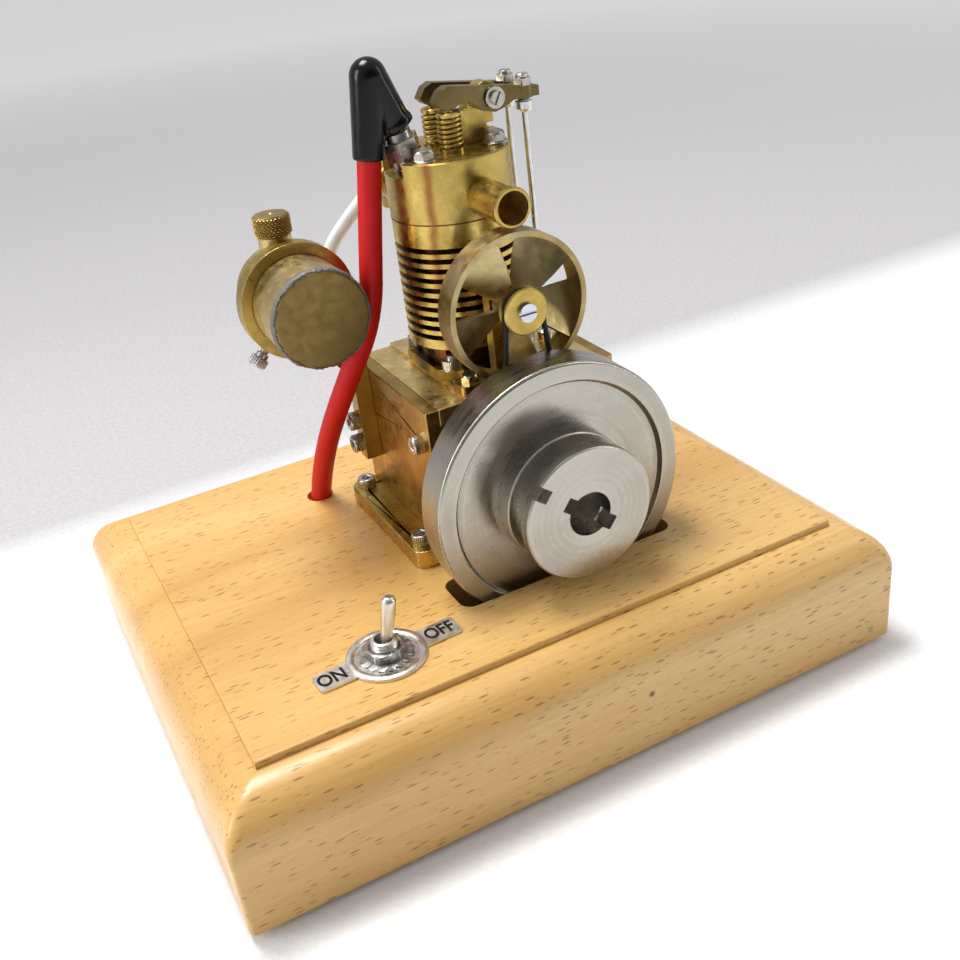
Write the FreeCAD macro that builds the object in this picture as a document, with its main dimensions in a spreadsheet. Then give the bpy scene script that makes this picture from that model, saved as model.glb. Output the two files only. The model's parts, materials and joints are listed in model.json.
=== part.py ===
"""Model four-stroke petrol engine: a vertical single with overhead valves on a wooden base.

Millimetres.  +Z is up, +X runs along the long edge of the base and the crankshaft lies along Y
with the flywheel towards -Y.  The origin is the centre of the plane that the feet stand on.
"""
import FreeCAD
import Part
import Sketcher
import math
import os

V = FreeCAD.Vector
UP = FreeCAD.Rotation()
TO_BACK = FreeCAD.Rotation(V(1, 0, 0), -90)      # a primitive's own axis turned to +Y
TO_FRONT = FreeCAD.Rotation(V(1, 0, 0), 90)      # to -Y
TO_RIGHT = FreeCAD.Rotation(V(0, 1, 0), 90)      # to +X
TO_LEFT = FreeCAD.Rotation(V(0, 1, 0), -90)      # to -X

doc = FreeCAD.newDocument("model_petrol_engine")
sheet = doc.addObject("Spreadsheet::Sheet", "dims")
nodes = {}

# ---------------------------------------------------------------- driving dimensions
DIMENSIONS = {
    # base
    "foot_height": 2.0, "foot_radius": 4.0, "foot_inset": 12.0,
    "base_length": 158.7, "base_width": 131.1, "base_height": 28.5, "base_round": 9.8,
    "deck_length": 137.8, "deck_width": 110.2, "deck_step": 1.6, "deck_thickness": 12.0,
    "cavity_left": -56.0, "cavity_front": -50.0, "cavity_length": 112.0, "cavity_width": 92.0,
    "cover_rim": 5.0, "cover_thickness": 1.5, "cover_gap": 0.2,
    "slot_left": -15.0, "slot_front": -36.0, "slot_length": 54.5, "slot_width": 12.4,
    "slot_corner": 3.0,
    "cable_hole_x": -22.9, "cable_hole_y": 33.1, "cable_hole_radius": 3.4,
    "cable_recess_radius": 7.0, "cable_hole_depth": 4.0,
    "module_length": 42.0, "module_width": 21.0, "module_height": 12.5,
    # engine axes
    "crank_x": 12.2, "crank_above_deck": 18.5, "cylinder_y": 4.0,
    # flywheel, starter hub and crankshaft
    "wheel_radius": 30.0, "wheel_back": -25.7, "wheel_front": -34.8, "rim_inner": 25.9,
    "web_front": -33.5, "web_back": -28.0, "wheel_boss_radius": 12.0, "wheel_edge": 0.5,
    "hub_front": -45.5, "hub_radius": 15.2, "hub_disc_front": -37.3, "groove_radius": 12.7,
    "front_disc_back": -43.0, "socket_radius": 5.0, "socket_depth": 9.0,
    "lobe_reach": 6.9, "lobe_width": 3.3, "lobe_depth": 3.6, "lobe_angle": 38.0,
    "notch_width": 3.0, "notch_depth": 3.4,
    "shaft_radius": 4.0, "crank_web_radius": 12.0, "crank_web_thickness": 3.4, "crank_throw": 8.0,
    "crank_pin_radius": 2.5, "crank_pin_stub": 0.4, "rod_gap": 0.8,
    "drive_pulley_radius": 9.2, "drive_pulley_length": 2.9, "drive_boss_radius": 6.4,
    "drive_boss_length": 5.1,
    # crankcase
    "plate_left": -16.7, "plate_front": -16.5, "plate_length": 61.6, "plate_width": 42.0,
    "plate_thickness": 4.5, "plate_corner": 3.0, "plate_screw_inset": 3.3,
    "case_left": -9.8, "case_right": 38.0, "case_front": -16.5, "case_back": 25.0,
    "case_height": 33.4, "case_wall": 3.2, "front_wall": 8.0, "roof_thickness": 4.0,
    "pad_left": 0.0, "pad_length": 34.4, "pad_height": 0.8,
    "bearing_radius": 7.0, "bearing_length": 3.0,
    # cylinder and head
    "fin_radius": 13.8, "fin_pitch": 2.2, "fin_gap": 1.15, "fin_root": 11.0, "fin_count": 10.0,
    "first_gap_above_pad": 9.3, "flange_half": 12.6, "flange_thickness": 2.6,
    "flange_corner": 4.5, "spigot_radius": 11.4, "cylinder_top": 74.1, "bore_radius": 8.5,
    "stud_pitch": 9.3, "stud_nut_flats": 4.4, "stud_nut_height": 2.2, "stud_tip": 0.9,
    "spot_face_radius": 2.7, "head_height": 12.9, "chamber_depth": 1.5,
    "bolt_circle": 10.8, "bolt_radius": 1.25, "bolt_flats": 4.2, "bolt_head": 2.4,
    # ports
    "pipe_x": 13.3, "pipe_above_joint": 4.6, "pipe_radius": 3.9, "pipe_bore": 3.5,
    "pipe_lip": 4.25, "pipe_front": -22.5, "pipe_root": -6.5, "port_radius": 2.6,
    # piston and rod
    "piston_radius": 8.44, "piston_length": 14.0, "piston_crown_above_pin": 9.0,
    "piston_wall": 1.4, "crown_thickness": 3.0, "rod_length": 36.0, "rod_width": 4.0,
    "rod_eye": 4.6, "rod_small_eye": 3.4, "wrist_pin_radius": 2.0, "wrist_pin_inset": 0.4,
    # valves
    "valve_x": 12.1, "front_valve_y": 0.3, "back_valve_y": 8.0, "stem_radius": 1.0,
    "valve_head_radius": 3.2, "valve_head_height": 1.2, "seat_ring_height": 0.8,
    "spring_radius": 2.3, "spring_wire": 0.4, "spring_height": 6.3, "spring_turns": 5.5,
    "retainer_radius": 2.6, "retainer_height": 0.9, "stem_tip": 0.3,
    # rockers and pushrods
    "rocker_pivot_x": 22.5, "rocker_pivot_above_head": 9.1, "rocker_width": 3.0,
    "rocker_shaft_radius": 1.35, "running_clearance": 0.05, "rocker_boss": 3.0,
    "pushrod_x": 30.3, "pushrod_radius": 0.7, "pushrod_cup_radius": 1.9,
    "pushrod_cup_height": 2.3, "adjuster_radius": 1.25, "stand_front": 2.15, "stand_width": 4.0,
    "adjuster_length": 5.2, "adjuster_below_pivot": 2.0, "locknut_flats": 3.6,
    "locknut_height": 1.6, "locknut_above_pivot": 0.9, "lug_radius": 2.0, "lug_height": 2.6,
    "lug_below_pivot": 1.6, "pushrod_top_below_pivot": 2.3, "nose_gap": 0.3,
    "shaft_end": 0.7, "neck_side": 6.0, "neck_below_pivot": 5.5,
    # camshaft
    "cam_x": 30.3, "cam_above_crank": 3.0, "cam_radius": 2.6, "cam_lift": 1.4,
    "cam_width": 3.0, "tappet_clearance": 0.3, "tappet_radius": 1.9, "tappet_above_roof": 3.0,
    "cam_shaft_radius": 2.0, "cam_shaft_front": -6.0, "cam_nose_radius": 1.6,
    "exhaust_cam_angle": 205.0, "inlet_cam_angle": 315.0,
    "gear_front": 25.6, "gear_thickness": 3.0, "pinion_teeth": 12.0, "cam_gear_teeth": 24.0,
    # spark plug and boot
    "plug_x": 3.4, "plug_above_joint": 10.8, "plug_lean": 14.0, "plug_thread_radius": 2.45,
    "plug_shell_radius": 3.1, "plug_flats": 7.0, "plug_pocket_half": 5.2,
    "plug_thread_length": 9.5, "plug_washer_radius": 3.5, "plug_washer_height": 0.8,
    "plug_shell_height": 6.4, "insulator_radius": 2.9, "insulator_height": 8.0,
    "terminal_radius": 1.7, "terminal_height": 13.0, "plug_hex_low": 2.4, "plug_hex_height": 4.0,
    "boot_radius": 3.9, "boot_leg_radius": 3.45, "boot_grip_radius": 3.3,
    "boot_bead_radius": 3.75, "boot_bead_length": 1.5, "boot_hollow_radius": 4.2,
    # fuel tank
    "tank_x": -22.9, "tank_z": 90.3, "tank_radius": 10.9, "tank_wall": 0.8,
    "tank_front": 0.4, "tank_back": 28.5, "lid_thickness": 0.8, "lid_radius": 10.6,
    "ring_front": 15.6, "ring_width": 4.1, "ring_radius": 13.4, "arm_width": 4.1,
    "arm_bottom": 46.7, "arm_height": 16.0, "arm_bend": 2.9, "arm_drop": 4.6,
    "arm_root_angle": -97.0, "arm_screw_low": 4.3, "arm_screw_high": 10.3,
    "clamp_radius": 1.0, "clamp_head_radius": 2.1,
    "neck_x": -23.2, "neck_y": 24.4, "neck_radius": 3.8, "neck_sink": 1.1, "neck_top": 104.0,
    "cap_radius": 4.3, "cap_height": 4.8, "cap_plug_radius": 1.95, "cap_plug_length": 2.6,
    # fuel line, carburettor and throttle
    "hose_radius": 1.7, "nipple_radius": 1.2, "tank_nipple": 3.2, "carburettor_nipple": 9.5,
    "inlet_pipe_root": 14.5, "inlet_pipe_length": 15.0, "barrel_front": 26.0, "barrel_drop": 4.0,
    "barrel_radius": 5.6, "barrel_length": 12.0, "mouth_front": 37.0, "mouth_radius": 6.4,
    "mouth_length": 2.0, "bowl_y": 32.0, "bowl_radius": 5.2, "bowl_height": 13.0,
    "bowl_below_port": 9.0, "bowl_lid_radius": 5.6, "bowl_lid_height": 1.4,
    "throat_radius": 2.6, "horn_radius": 5.0, "horn_length": 4.1, "spindle_radius": 1.0,
    "spindle_above_port": 1.0, "spindle_length": 4.6, "throttle_length": 11.0,
    "throttle_width": 3.0, "throttle_thickness": 0.8, "throttle_above_port": 4.2,
    "throttle_hub_radius": 2.1,
    # ignition cable
    "cable_radius": 2.6,
    # fan
    "fan_above_crank": 39.4, "fan_radius": 16.2, "fan_rim": 1.2, "fan_front": -23.2,
    "fan_depth": 5.8, "fan_hub_radius": 3.6, "fan_blades": 5.0, "blade_thickness": 0.7,
    "fan_pulley_radius": 5.1, "fan_pulley_front": -26.0, "fan_pulley_length": 2.8,
    "fan_axle_radius": 1.5, "fan_axle_head": 2.0, "fan_axle_head_height": 0.9,
    "fan_axle_length": 13.5, "axle_slot_width": 0.7, "axle_slot_depth": 0.5, "blade_lead": 18.0,
    "bracket_foot_length": 24.4, "bracket_foot_width": 5.6, "bracket_foot_height": 2.0,
    "bracket_step": 0.6, "bracket_post_width": 7.0, "bracket_thickness": 3.0,
    "foot_screw_back": 3.7, "foot_screw_spread": 8.9, "foot_screw_radius": 1.0,
    "foot_screw_flats": 3.4, "foot_screw_head": 1.5,
    # round belt: its run radius on each pulley, and the groove that it lies in
    "belt_plane": -24.4, "belt_radius": 0.6, "fan_belt_run": 4.15, "drive_belt_run": 8.35,
    "groove_depth": 0.85, "groove_floor": 1.0, "groove_mouth": 2.1,
    # toggle switch
    "switch_x": -35.6, "switch_y": -40.5, "switch_plate_thickness": 0.6,
    "switch_disc": 8.6, "switch_tab_length": 32.6, "switch_tab_width": 5.9, "switch_turn": 3.0,
    "bushing_radius": 2.95, "bushing_bore": 2.2, "bushing_top": 4.8, "switch_nut_flats": 8.0,
    "switch_nut_height": 2.0, "washer_height": 0.5, "lever_tip_radius": 1.35,
    "lever_root_radius": 1.0, "lever_length": 14.2, "lever_lean": 12.0, "lever_ball": 1.6,
    "washer_radius": 6.0, "lever_neck_length": 4.0, "lever_pivot_above_deck": 1.0,
    "lever_pin_radius": 0.6, "lever_pin_length": 4.0,
    "switch_wood": 5.0, "switch_body_length": 13.0, "switch_body_width": 8.0,
    "switch_body_height": 9.0,
    # screws
    "socket_head_radius": 2.25, "socket_head_height": 2.5, "screw_radius": 1.25,
    "hex_key": 2.0, "plate_screw_run": 7.0, "case_screw_run": 6.0, "arm_screw_run": 6.5,
    # working allowances: edge breaks, and cutters that pass right through
    "edge_break": 0.3, "through": 20.0,
}
# sizes that follow from the ones above
DERIVED = {
    "deck_top": "dims.foot_height + dims.base_height + dims.deck_step",
    "cavity_top": "dims.deck_top - dims.deck_thickness",
    "crank_z": "dims.deck_top + dims.crank_above_deck",
    "case_bottom": "dims.deck_top + dims.plate_thickness",
    "roof_top": "dims.case_bottom + dims.case_height",
    "pad_top": "dims.roof_top + dims.pad_height",
    "joint_z": "dims.deck_top + dims.cylinder_top",
    "head_top": "dims.joint_z + dims.head_height",
    "flange_top": "dims.pad_top + dims.flange_thickness",
    "chamber_z": "dims.joint_z + dims.chamber_depth",
    "port_z": "dims.joint_z + dims.pipe_above_joint",
    "seat_top": "dims.head_top + dims.seat_ring_height",
    "retainer_top": "dims.seat_top + dims.spring_height + dims.retainer_height",
    "pivot_z": "dims.head_top + dims.rocker_pivot_above_head",
    "cam_z": "dims.crank_z + dims.cam_above_crank",
    "tappet_z": "dims.cam_z + dims.cam_radius + dims.cam_lift + dims.tappet_clearance",
    "fan_z": "dims.crank_z + dims.fan_above_crank",
    "plug_z": "dims.joint_z + dims.plug_above_joint",
    "pin_z": "dims.crank_z + dims.crank_throw + dims.rod_length",
}


def fill_sheet():
    row = 1
    for alias, size in DIMENSIONS.items():
        sheet.set("A%d" % row, alias)
        sheet.set("B%d" % row, str(size))
        sheet.setAlias("B%d" % row, alias)
        row += 1
    doc.recompute()
    for alias, formula in DERIVED.items():
        sheet.set("A%d" % row, alias)
        sheet.set("B%d" % row, "=" + formula.replace("dims.", ""))
        sheet.setAlias("B%d" % row, alias)
        row += 1
        doc.recompute()


fill_sheet()


def size(formula):
    """Number that a formula of the sheet gives."""
    return float(sheet.evalExpression(str(formula)))


# ---------------------------------------------------------------- small builders
# Cutters overrun the faces that they cut, and pieces to be fused sink a little into each other.
def settle(thing, at, turn=UP):
    """Turn an object and bind its place to the sheet."""
    thing.Placement = FreeCAD.Placement(V(0, 0, 0), turn)
    for axis, formula in zip("xyz", at):
        thing.setExpression("Placement.Base." + axis, str(formula))
    return thing


def block(name, lengths, at, turn=UP):
    thing = doc.addObject("Part::Box", name)
    for side, formula in zip(("Length", "Width", "Height"), lengths):
        thing.setExpression(side, str(formula))
    return settle(thing, at, turn)


def rod(name, radius, length, at, turn=UP):
    thing = doc.addObject("Part::Cylinder", name)
    thing.setExpression("Radius", str(radius))
    thing.setExpression("Height", str(length))
    return settle(thing, at, turn)


def cone(name, low, high, length, at, turn=UP):
    thing = doc.addObject("Part::Cone", name)
    thing.setExpression("Radius1", str(low))
    thing.setExpression("Radius2", str(high))
    thing.setExpression("Height", str(length))
    return settle(thing, at, turn)


def ball(name, radius, at):
    thing = doc.addObject("Part::Sphere", name)
    thing.setExpression("Radius", str(radius))
    return settle(thing, at)


def hexagon(name, flats, length, at, turn=UP):
    thing = doc.addObject("Part::Prism", name)
    thing.Polygon = 6
    thing.setExpression("Circumradius", "(%s) / 2 / cos(30 deg)" % flats)
    thing.setExpression("Height", str(length))
    return settle(thing, at, turn)


def fuse(name, *parts):
    thing = doc.addObject("Part::MultiFuse", name)
    thing.Shapes = list(parts)
    thing.Refine = True
    return thing


def cut(name, whole, *tools):
    thing = doc.addObject("Part::Cut", name)
    thing.Base = whole
    thing.Tool = tools[0] if len(tools) == 1 else fuse(name + "_tools", *tools)
    thing.Refine = True
    return thing


def node(name, thing):
    """Register a finished sub-part under its node name."""
    thing.Label = name
    nodes[name] = thing
    return thing


def body_plane(body, role):
    return [f for f in body.Origin.OriginFeatures if f.Role == role][0]


def outline_sketch(body, name, corners, role):
    """Closed polygon whose corners are bound to formulas of the sheet."""
    sketch = body.newObject("Sketcher::SketchObject", name)
    sketch.AttachmentSupport = [(body_plane(body, role), "")]
    sketch.MapMode = "FlatFace"
    spots = [(size(u), size(v)) for u, v in corners]
    count = len(corners)
    for i in range(count):
        start, end = spots[i], spots[(i + 1) % count]
        sketch.addGeometry(Part.LineSegment(V(start[0], start[1], 0), V(end[0], end[1], 0)))
    for i in range(count):
        sketch.addConstraint(Sketcher.Constraint("Coincident", i, 2, (i + 1) % count, 1))
    for i, (u, v) in enumerate(corners):
        for kind, spot, formula, axis in (("DistanceX", spots[i][0], u, -2),
                                          ("DistanceY", spots[i][1], v, -1)):
            if abs(spot) < 1e-9:
                sketch.addConstraint(Sketcher.Constraint("PointOnObject", i, 1, axis))
                continue
            index = sketch.addConstraint(Sketcher.Constraint(kind, -1, 1, i, 1, spot))
            sketch.setExpression("Constraints[%d]" % index, str(formula))
    return sketch


def turned(name, outline, at, turn=UP):
    """Lathe work: (radius, height) corners turned about the body's own axis."""
    body = doc.addObject("PartDesign::Body", name)
    sketch = outline_sketch(body, name + "_outline", outline, "XZ_Plane")
    revolution = body.newObject("PartDesign::Revolution", name + "_turned")
    revolution.Profile = sketch
    revolution.ReferenceAxis = (sketch, ["V_Axis"])
    revolution.Angle = 360
    body.Tip = revolution
    return settle(body, at, turn)


def profile(name, corners, thickness, at):
    """Flat piece: an outline in the XZ plane, padded towards +Y."""
    body = doc.addObject("PartDesign::Body", name)
    sketch = outline_sketch(body, name + "_outline", corners, "XZ_Plane")
    pad = body.newObject("PartDesign::Pad", name + "_pad")
    pad.Profile = sketch
    pad.setExpression("Length", str(thickness))
    pad.Reversed = True
    body.Tip = pad
    return settle(body, at)


def slab(name, lengths, at, corner=None, top=None):
    """Plate from a sketched rectangle, its upright corners and top edges rounded if asked."""
    length, width, height = lengths
    body = doc.addObject("PartDesign::Body", name)
    corners = [(0, 0), (length, 0), (length, width), (0, width)]
    sketch = outline_sketch(body, name + "_outline", corners, "XY_Plane")
    pad = body.newObject("PartDesign::Pad", name + "_pad")
    pad.Profile = sketch
    pad.setExpression("Length", str(height))
    body.Tip = pad
    doc.recompute()
    for radius, wanted in ((corner, upright), (top, level_top)):
        if radius is None:
            continue
        tip = body.Tip
        fillet = body.newObject("PartDesign::Fillet", name + "_" + wanted.__name__)
        fillet.Base = (tip, wanted(tip.Shape))
        fillet.setExpression("Radius", str(radius))
        body.Tip = fillet
        doc.recompute()
    return settle(body, at)


def upright(shape):
    return ["Edge%d" % (i + 1) for i, e in enumerate(shape.Edges)
            if e.BoundBox.ZLength > 0.99 * shape.BoundBox.ZLength]


def level_top(shape):
    return ["Edge%d" % (i + 1) for i, e in enumerate(shape.Edges)
            if e.BoundBox.ZMin > shape.BoundBox.ZMax - 1e-6]


def made(name, shape):
    """Piece whose shape is worked out in code from sizes of the sheet."""
    thing = doc.addObject("Part::Feature", name)
    thing.Shape = shape
    return thing


def socket_screw(name, at, turn, length):
    """Socket head screw: its head starts at the seat, its shank runs back into the work."""
    outline = [("0", "-(%s)" % length), ("dims.screw_radius", "-(%s)" % length),
               ("dims.screw_radius", "0"), ("dims.socket_head_radius", "0"),
               ("dims.socket_head_radius", "dims.socket_head_height - dims.edge_break"),
               ("dims.socket_head_radius - dims.edge_break", "dims.socket_head_height"),
               ("0", "dims.socket_head_height")]
    blank = turned(name + "_blank", outline, at, turn)
    key = hexagon(name + "_key", "dims.hex_key", "dims.socket_head_height", at, turn)
    offset = turn.multVec(V(0, 0, 1))
    for axis, step, place in zip("xyz", offset, at):
        key.setExpression("Placement.Base." + axis, "%s + %.1f * 1.1" % (place, round(step)))
    return cut(name + "_made", blank, key)


def hex_bolt(name, flats, head, radius, length, at):
    """Hexagon head with a domed chamfer on a plain shank that points down."""
    blank = hexagon(name + "_hex", flats, head, at)
    dome = cone(name + "_dome", "(%s) * 0.76" % flats, "(%s) * 0.46" % flats, head, at)
    shaped = doc.addObject("Part::Common", name + "_head")
    shaped.Base = blank
    shaped.Tool = dome
    low = (at[0], at[1], "%s - (%s)" % (at[2], length))
    return fuse(name + "_made", shaped, rod(name + "_shank", radius, length, low))


# ---------------------------------------------------------------- wooden base
def wooden_base():
    outer = slab("base_blank", ("dims.base_length", "dims.base_width", "dims.base_height"),
                 ("-dims.base_length / 2", "-dims.base_width / 2", "dims.foot_height"),
                 corner="1.2", top="dims.base_round")
    deck = slab("deck_blank", ("dims.deck_length", "dims.deck_width", "dims.deck_step + 1"),
                ("-dims.deck_length / 2", "-dims.deck_width / 2", "dims.deck_top - dims.deck_step - 1"),
                top="0.4")
    cavity = block("base_cavity", ("dims.cavity_length", "dims.cavity_width",
                                   "dims.cavity_top - dims.foot_height + 1"),
                   ("dims.cavity_left", "dims.cavity_front", "dims.foot_height - 1"))
    rebate = block("cover_rebate", ("dims.cavity_length + 2 * dims.cover_rim",
                                    "dims.cavity_width + 2 * dims.cover_rim",
                                    "dims.cover_thickness + 1"),
                   ("dims.cavity_left - dims.cover_rim", "dims.cavity_front - dims.cover_rim",
                    "dims.foot_height - 1"))
    slot = slab("wheel_slot", ("dims.slot_length", "dims.slot_width", "dims.deck_thickness + 3"),
                ("dims.slot_left", "dims.slot_front", "dims.cavity_top - 1"),
                corner="dims.slot_corner")
    cable_hole = rod("cable_hole", "dims.cable_hole_radius", "dims.deck_thickness + 2",
                     ("dims.cable_hole_x", "dims.cable_hole_y", "dims.cavity_top - 1"))
    cable_recess = rod("cable_recess", "dims.cable_recess_radius",
                       "dims.deck_thickness - dims.cable_hole_depth + 1",
                       ("dims.cable_hole_x", "dims.cable_hole_y", "dims.cavity_top - 1"))
    switch_hole = rod("switch_hole", "dims.bushing_radius + 0.1", "dims.deck_thickness + 2",
                      ("dims.switch_x", "dims.switch_y", "dims.cavity_top - 1"))
    switch_pocket = block("switch_pocket",
                          ("dims.switch_body_length + 1", "dims.switch_body_width + 1",
                           "dims.deck_thickness - dims.switch_wood + 1"),
                          ("dims.switch_x - dims.switch_body_length / 2 - 0.5",
                           "dims.switch_y - dims.switch_body_width / 2 - 0.5",
                           "dims.cavity_top - 1"))
    pilots = [rod("base_pilot_%d" % i, "dims.screw_radius", "8",
                  (x, y, "dims.deck_top - 7.5"))
              for i, (x, y) in enumerate(plate_screw_places())]
    node("wooden_base", cut("base_made", fuse("base_whole", outer, deck), cavity, rebate, slot,
                            cable_hole, cable_recess, switch_hole, switch_pocket, *pilots))


def base_underside():
    """Cover plate in its rebate, four rubber feet and the ignition module above the cover."""
    node("base_cover", block("cover_made", (
        "dims.cavity_length + 2 * dims.cover_rim - 2 * dims.cover_gap",
        "dims.cavity_width + 2 * dims.cover_rim - 2 * dims.cover_gap",
        "dims.cover_thickness - dims.cover_gap"),
        ("dims.cavity_left - dims.cover_rim + dims.cover_gap",
         "dims.cavity_front - dims.cover_rim + dims.cover_gap",
         "dims.foot_height + dims.cover_gap")))
    feet = []
    for i, (sx, sy) in enumerate(((-1, -1), (1, -1), (1, 1), (-1, 1))):
        feet.append(cone("foot_%d" % i, "dims.foot_radius", "dims.foot_radius - 0.6",
                         "dims.foot_height",
                         ("%d * (dims.base_length / 2 - dims.foot_inset)" % sx,
                          "%d * (dims.base_width / 2 - dims.foot_inset)" % sy, 0)))
    node("base_feet", fuse("feet_made", *feet))
    node("ignition_module", slab("module_made", (
        "dims.module_length", "dims.module_width", "dims.module_height"),
        ("dims.cable_hole_x - dims.module_length / 2", "dims.cable_hole_y - 14",
         "dims.foot_height + dims.cover_thickness"), corner="1.5"))


# ---------------------------------------------------------------- crankcase
def plate_screw_places():
    left = "dims.plate_left + dims.plate_screw_inset"
    right = "dims.plate_left + dims.plate_length - dims.plate_screw_inset"
    front = "dims.plate_front + 4.9"
    back = "dims.plate_front + dims.plate_width - 4.1"
    return [(left, front), (right, front), (right, back), (left, back)]


def engine_plate():
    plate = slab("plate_blank", ("dims.plate_length", "dims.plate_width", "dims.plate_thickness"),
                 ("dims.plate_left", "dims.plate_front", "dims.deck_top"),
                 corner="dims.plate_corner", top="dims.edge_break")
    holes = [rod("plate_hole_%d" % i, "dims.screw_radius", "dims.plate_thickness + 2",
                 (x, y, "dims.deck_top - 1"))
             for i, (x, y) in enumerate(plate_screw_places())]
    node("engine_plate", cut("plate_made", plate, *holes))
    screws = [socket_screw("plate_screw%d" % i, (x, y, "dims.case_bottom"), UP,
                           "dims.plate_thickness + dims.plate_screw_run")
              for i, (x, y) in enumerate(plate_screw_places())]
    node("plate_screws", fuse("plate_screws_made", *screws))


def crankcase():
    """Five bolted plates: two full sides, front and back between them, and the roof."""
    inner = "dims.case_right - dims.case_left - 2 * dims.case_wall"
    inner_left = "dims.case_left + dims.case_wall"
    wall = "dims.case_wall"
    depth = "dims.case_back - dims.case_front"
    low = "dims.case_bottom"
    side_height = "dims.case_height"
    end_height = "dims.case_height - dims.roof_thickness"
    left = block("left_blank", (wall, depth, side_height), ("dims.case_left", "dims.case_front", low))
    left_holes = [rod("left_hole_%d" % i, "dims.screw_radius", "dims.through", at, TO_RIGHT)
                  for i, at in enumerate(side_screw_places())]
    node("case_left", cut("left_made", left, *left_holes))
    node("case_right", block("right_made", (wall, depth, side_height),
                             ("dims.case_right - dims.case_wall", "dims.case_front", low)))
    front = block("front_blank", (inner, "dims.front_wall", end_height),
                  (inner_left, "dims.case_front", low))
    boss = rod("front_boss", "dims.bearing_radius", "dims.bearing_length + 0.5",
               ("dims.crank_x", "dims.case_front - dims.bearing_length", "dims.crank_z"), TO_BACK)
    front_bore = rod("front_bore", "dims.shaft_radius + dims.running_clearance", "30",
                     ("dims.crank_x", "dims.case_front - 10", "dims.crank_z"), TO_BACK)
    front_screw = rod("front_screw_hole", "dims.screw_radius", "dims.through",
                      side_screw_places()[0], TO_RIGHT)
    node("case_front", cut("front_made", fuse("front_whole", front, boss), front_bore, front_screw))
    back = block("back_blank", (inner, wall, end_height),
                 (inner_left, "dims.case_back - dims.case_wall", low))
    back_bore = rod("back_bore", "dims.shaft_radius + dims.running_clearance", "dims.through",
                    ("dims.crank_x", "dims.case_back - 10", "dims.crank_z"), TO_BACK)
    cam_bore = rod("cam_bore", "dims.cam_shaft_radius + dims.running_clearance", "dims.through",
                   ("dims.cam_x", "dims.case_back - 10", "dims.cam_z"), TO_BACK)
    node("case_back", cut("back_made", back, back_bore, cam_bore))
    roof = block("roof_blank", (inner, depth, "dims.roof_thickness"),
                 (inner_left, "dims.case_front", "dims.roof_top - dims.roof_thickness"))
    pad = slab("roof_pad", ("dims.pad_length", depth, "dims.pad_height + 0.5"),
               ("dims.pad_left", "dims.case_front", "dims.roof_top - 0.5"), top="0.2")
    bore = rod("roof_bore", "dims.bore_radius + 1.5", "dims.through",
               ("dims.crank_x", "dims.cylinder_y", "dims.roof_top - 10"))
    studs = [rod("stud_hole_%d" % i, "dims.screw_radius", "dims.through", (x, y, "dims.roof_top - 10"))
             for i, (x, y) in enumerate(stud_places())]
    guides = [rod("tappet_guide_%d" % i, "dims.tappet_radius + dims.running_clearance",
              "dims.through",
                  ("dims.pushrod_x", y, "dims.roof_top - 10"))
              for i, y in enumerate(("dims.front_valve_y", "dims.back_valve_y"))]
    foot_holes = [rod("foot_hole_%d" % i, "dims.foot_screw_radius", "dims.through",
                      (x, "dims.case_front + dims.foot_screw_back", "dims.roof_top - 10"))
                  for i, x in enumerate(fan_foot_screws())]
    node("case_roof", cut("roof_made", fuse("roof_whole", roof, pad), bore,
                          *(studs + guides + foot_holes)))
    node("case_screw", socket_screw("case_screw", side_screw_places()[0], TO_LEFT,
                                    "dims.case_screw_run"))


def side_screw_places():
    """Seat of the screw in the left plate, then of the two that hold the tank arm."""
    side = ["dims.case_left", "dims.case_front + 4.8", "dims.case_bottom + 24.5"]
    arm = [["dims.case_left - dims.arm_width", "dims.ring_front + dims.ring_width / 2",
            "dims.arm_bottom + " + rise] for rise in ("dims.arm_screw_low", "dims.arm_screw_high")]
    return [side] + arm


def stud_places():
    places = []
    for sx, sy in ((-1, -1), (1, -1), (1, 1), (-1, 1)):
        places.append(("dims.crank_x + %d * dims.stud_pitch" % sx,
                       "dims.cylinder_y + %d * dims.stud_pitch" % sy))
    return places


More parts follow.
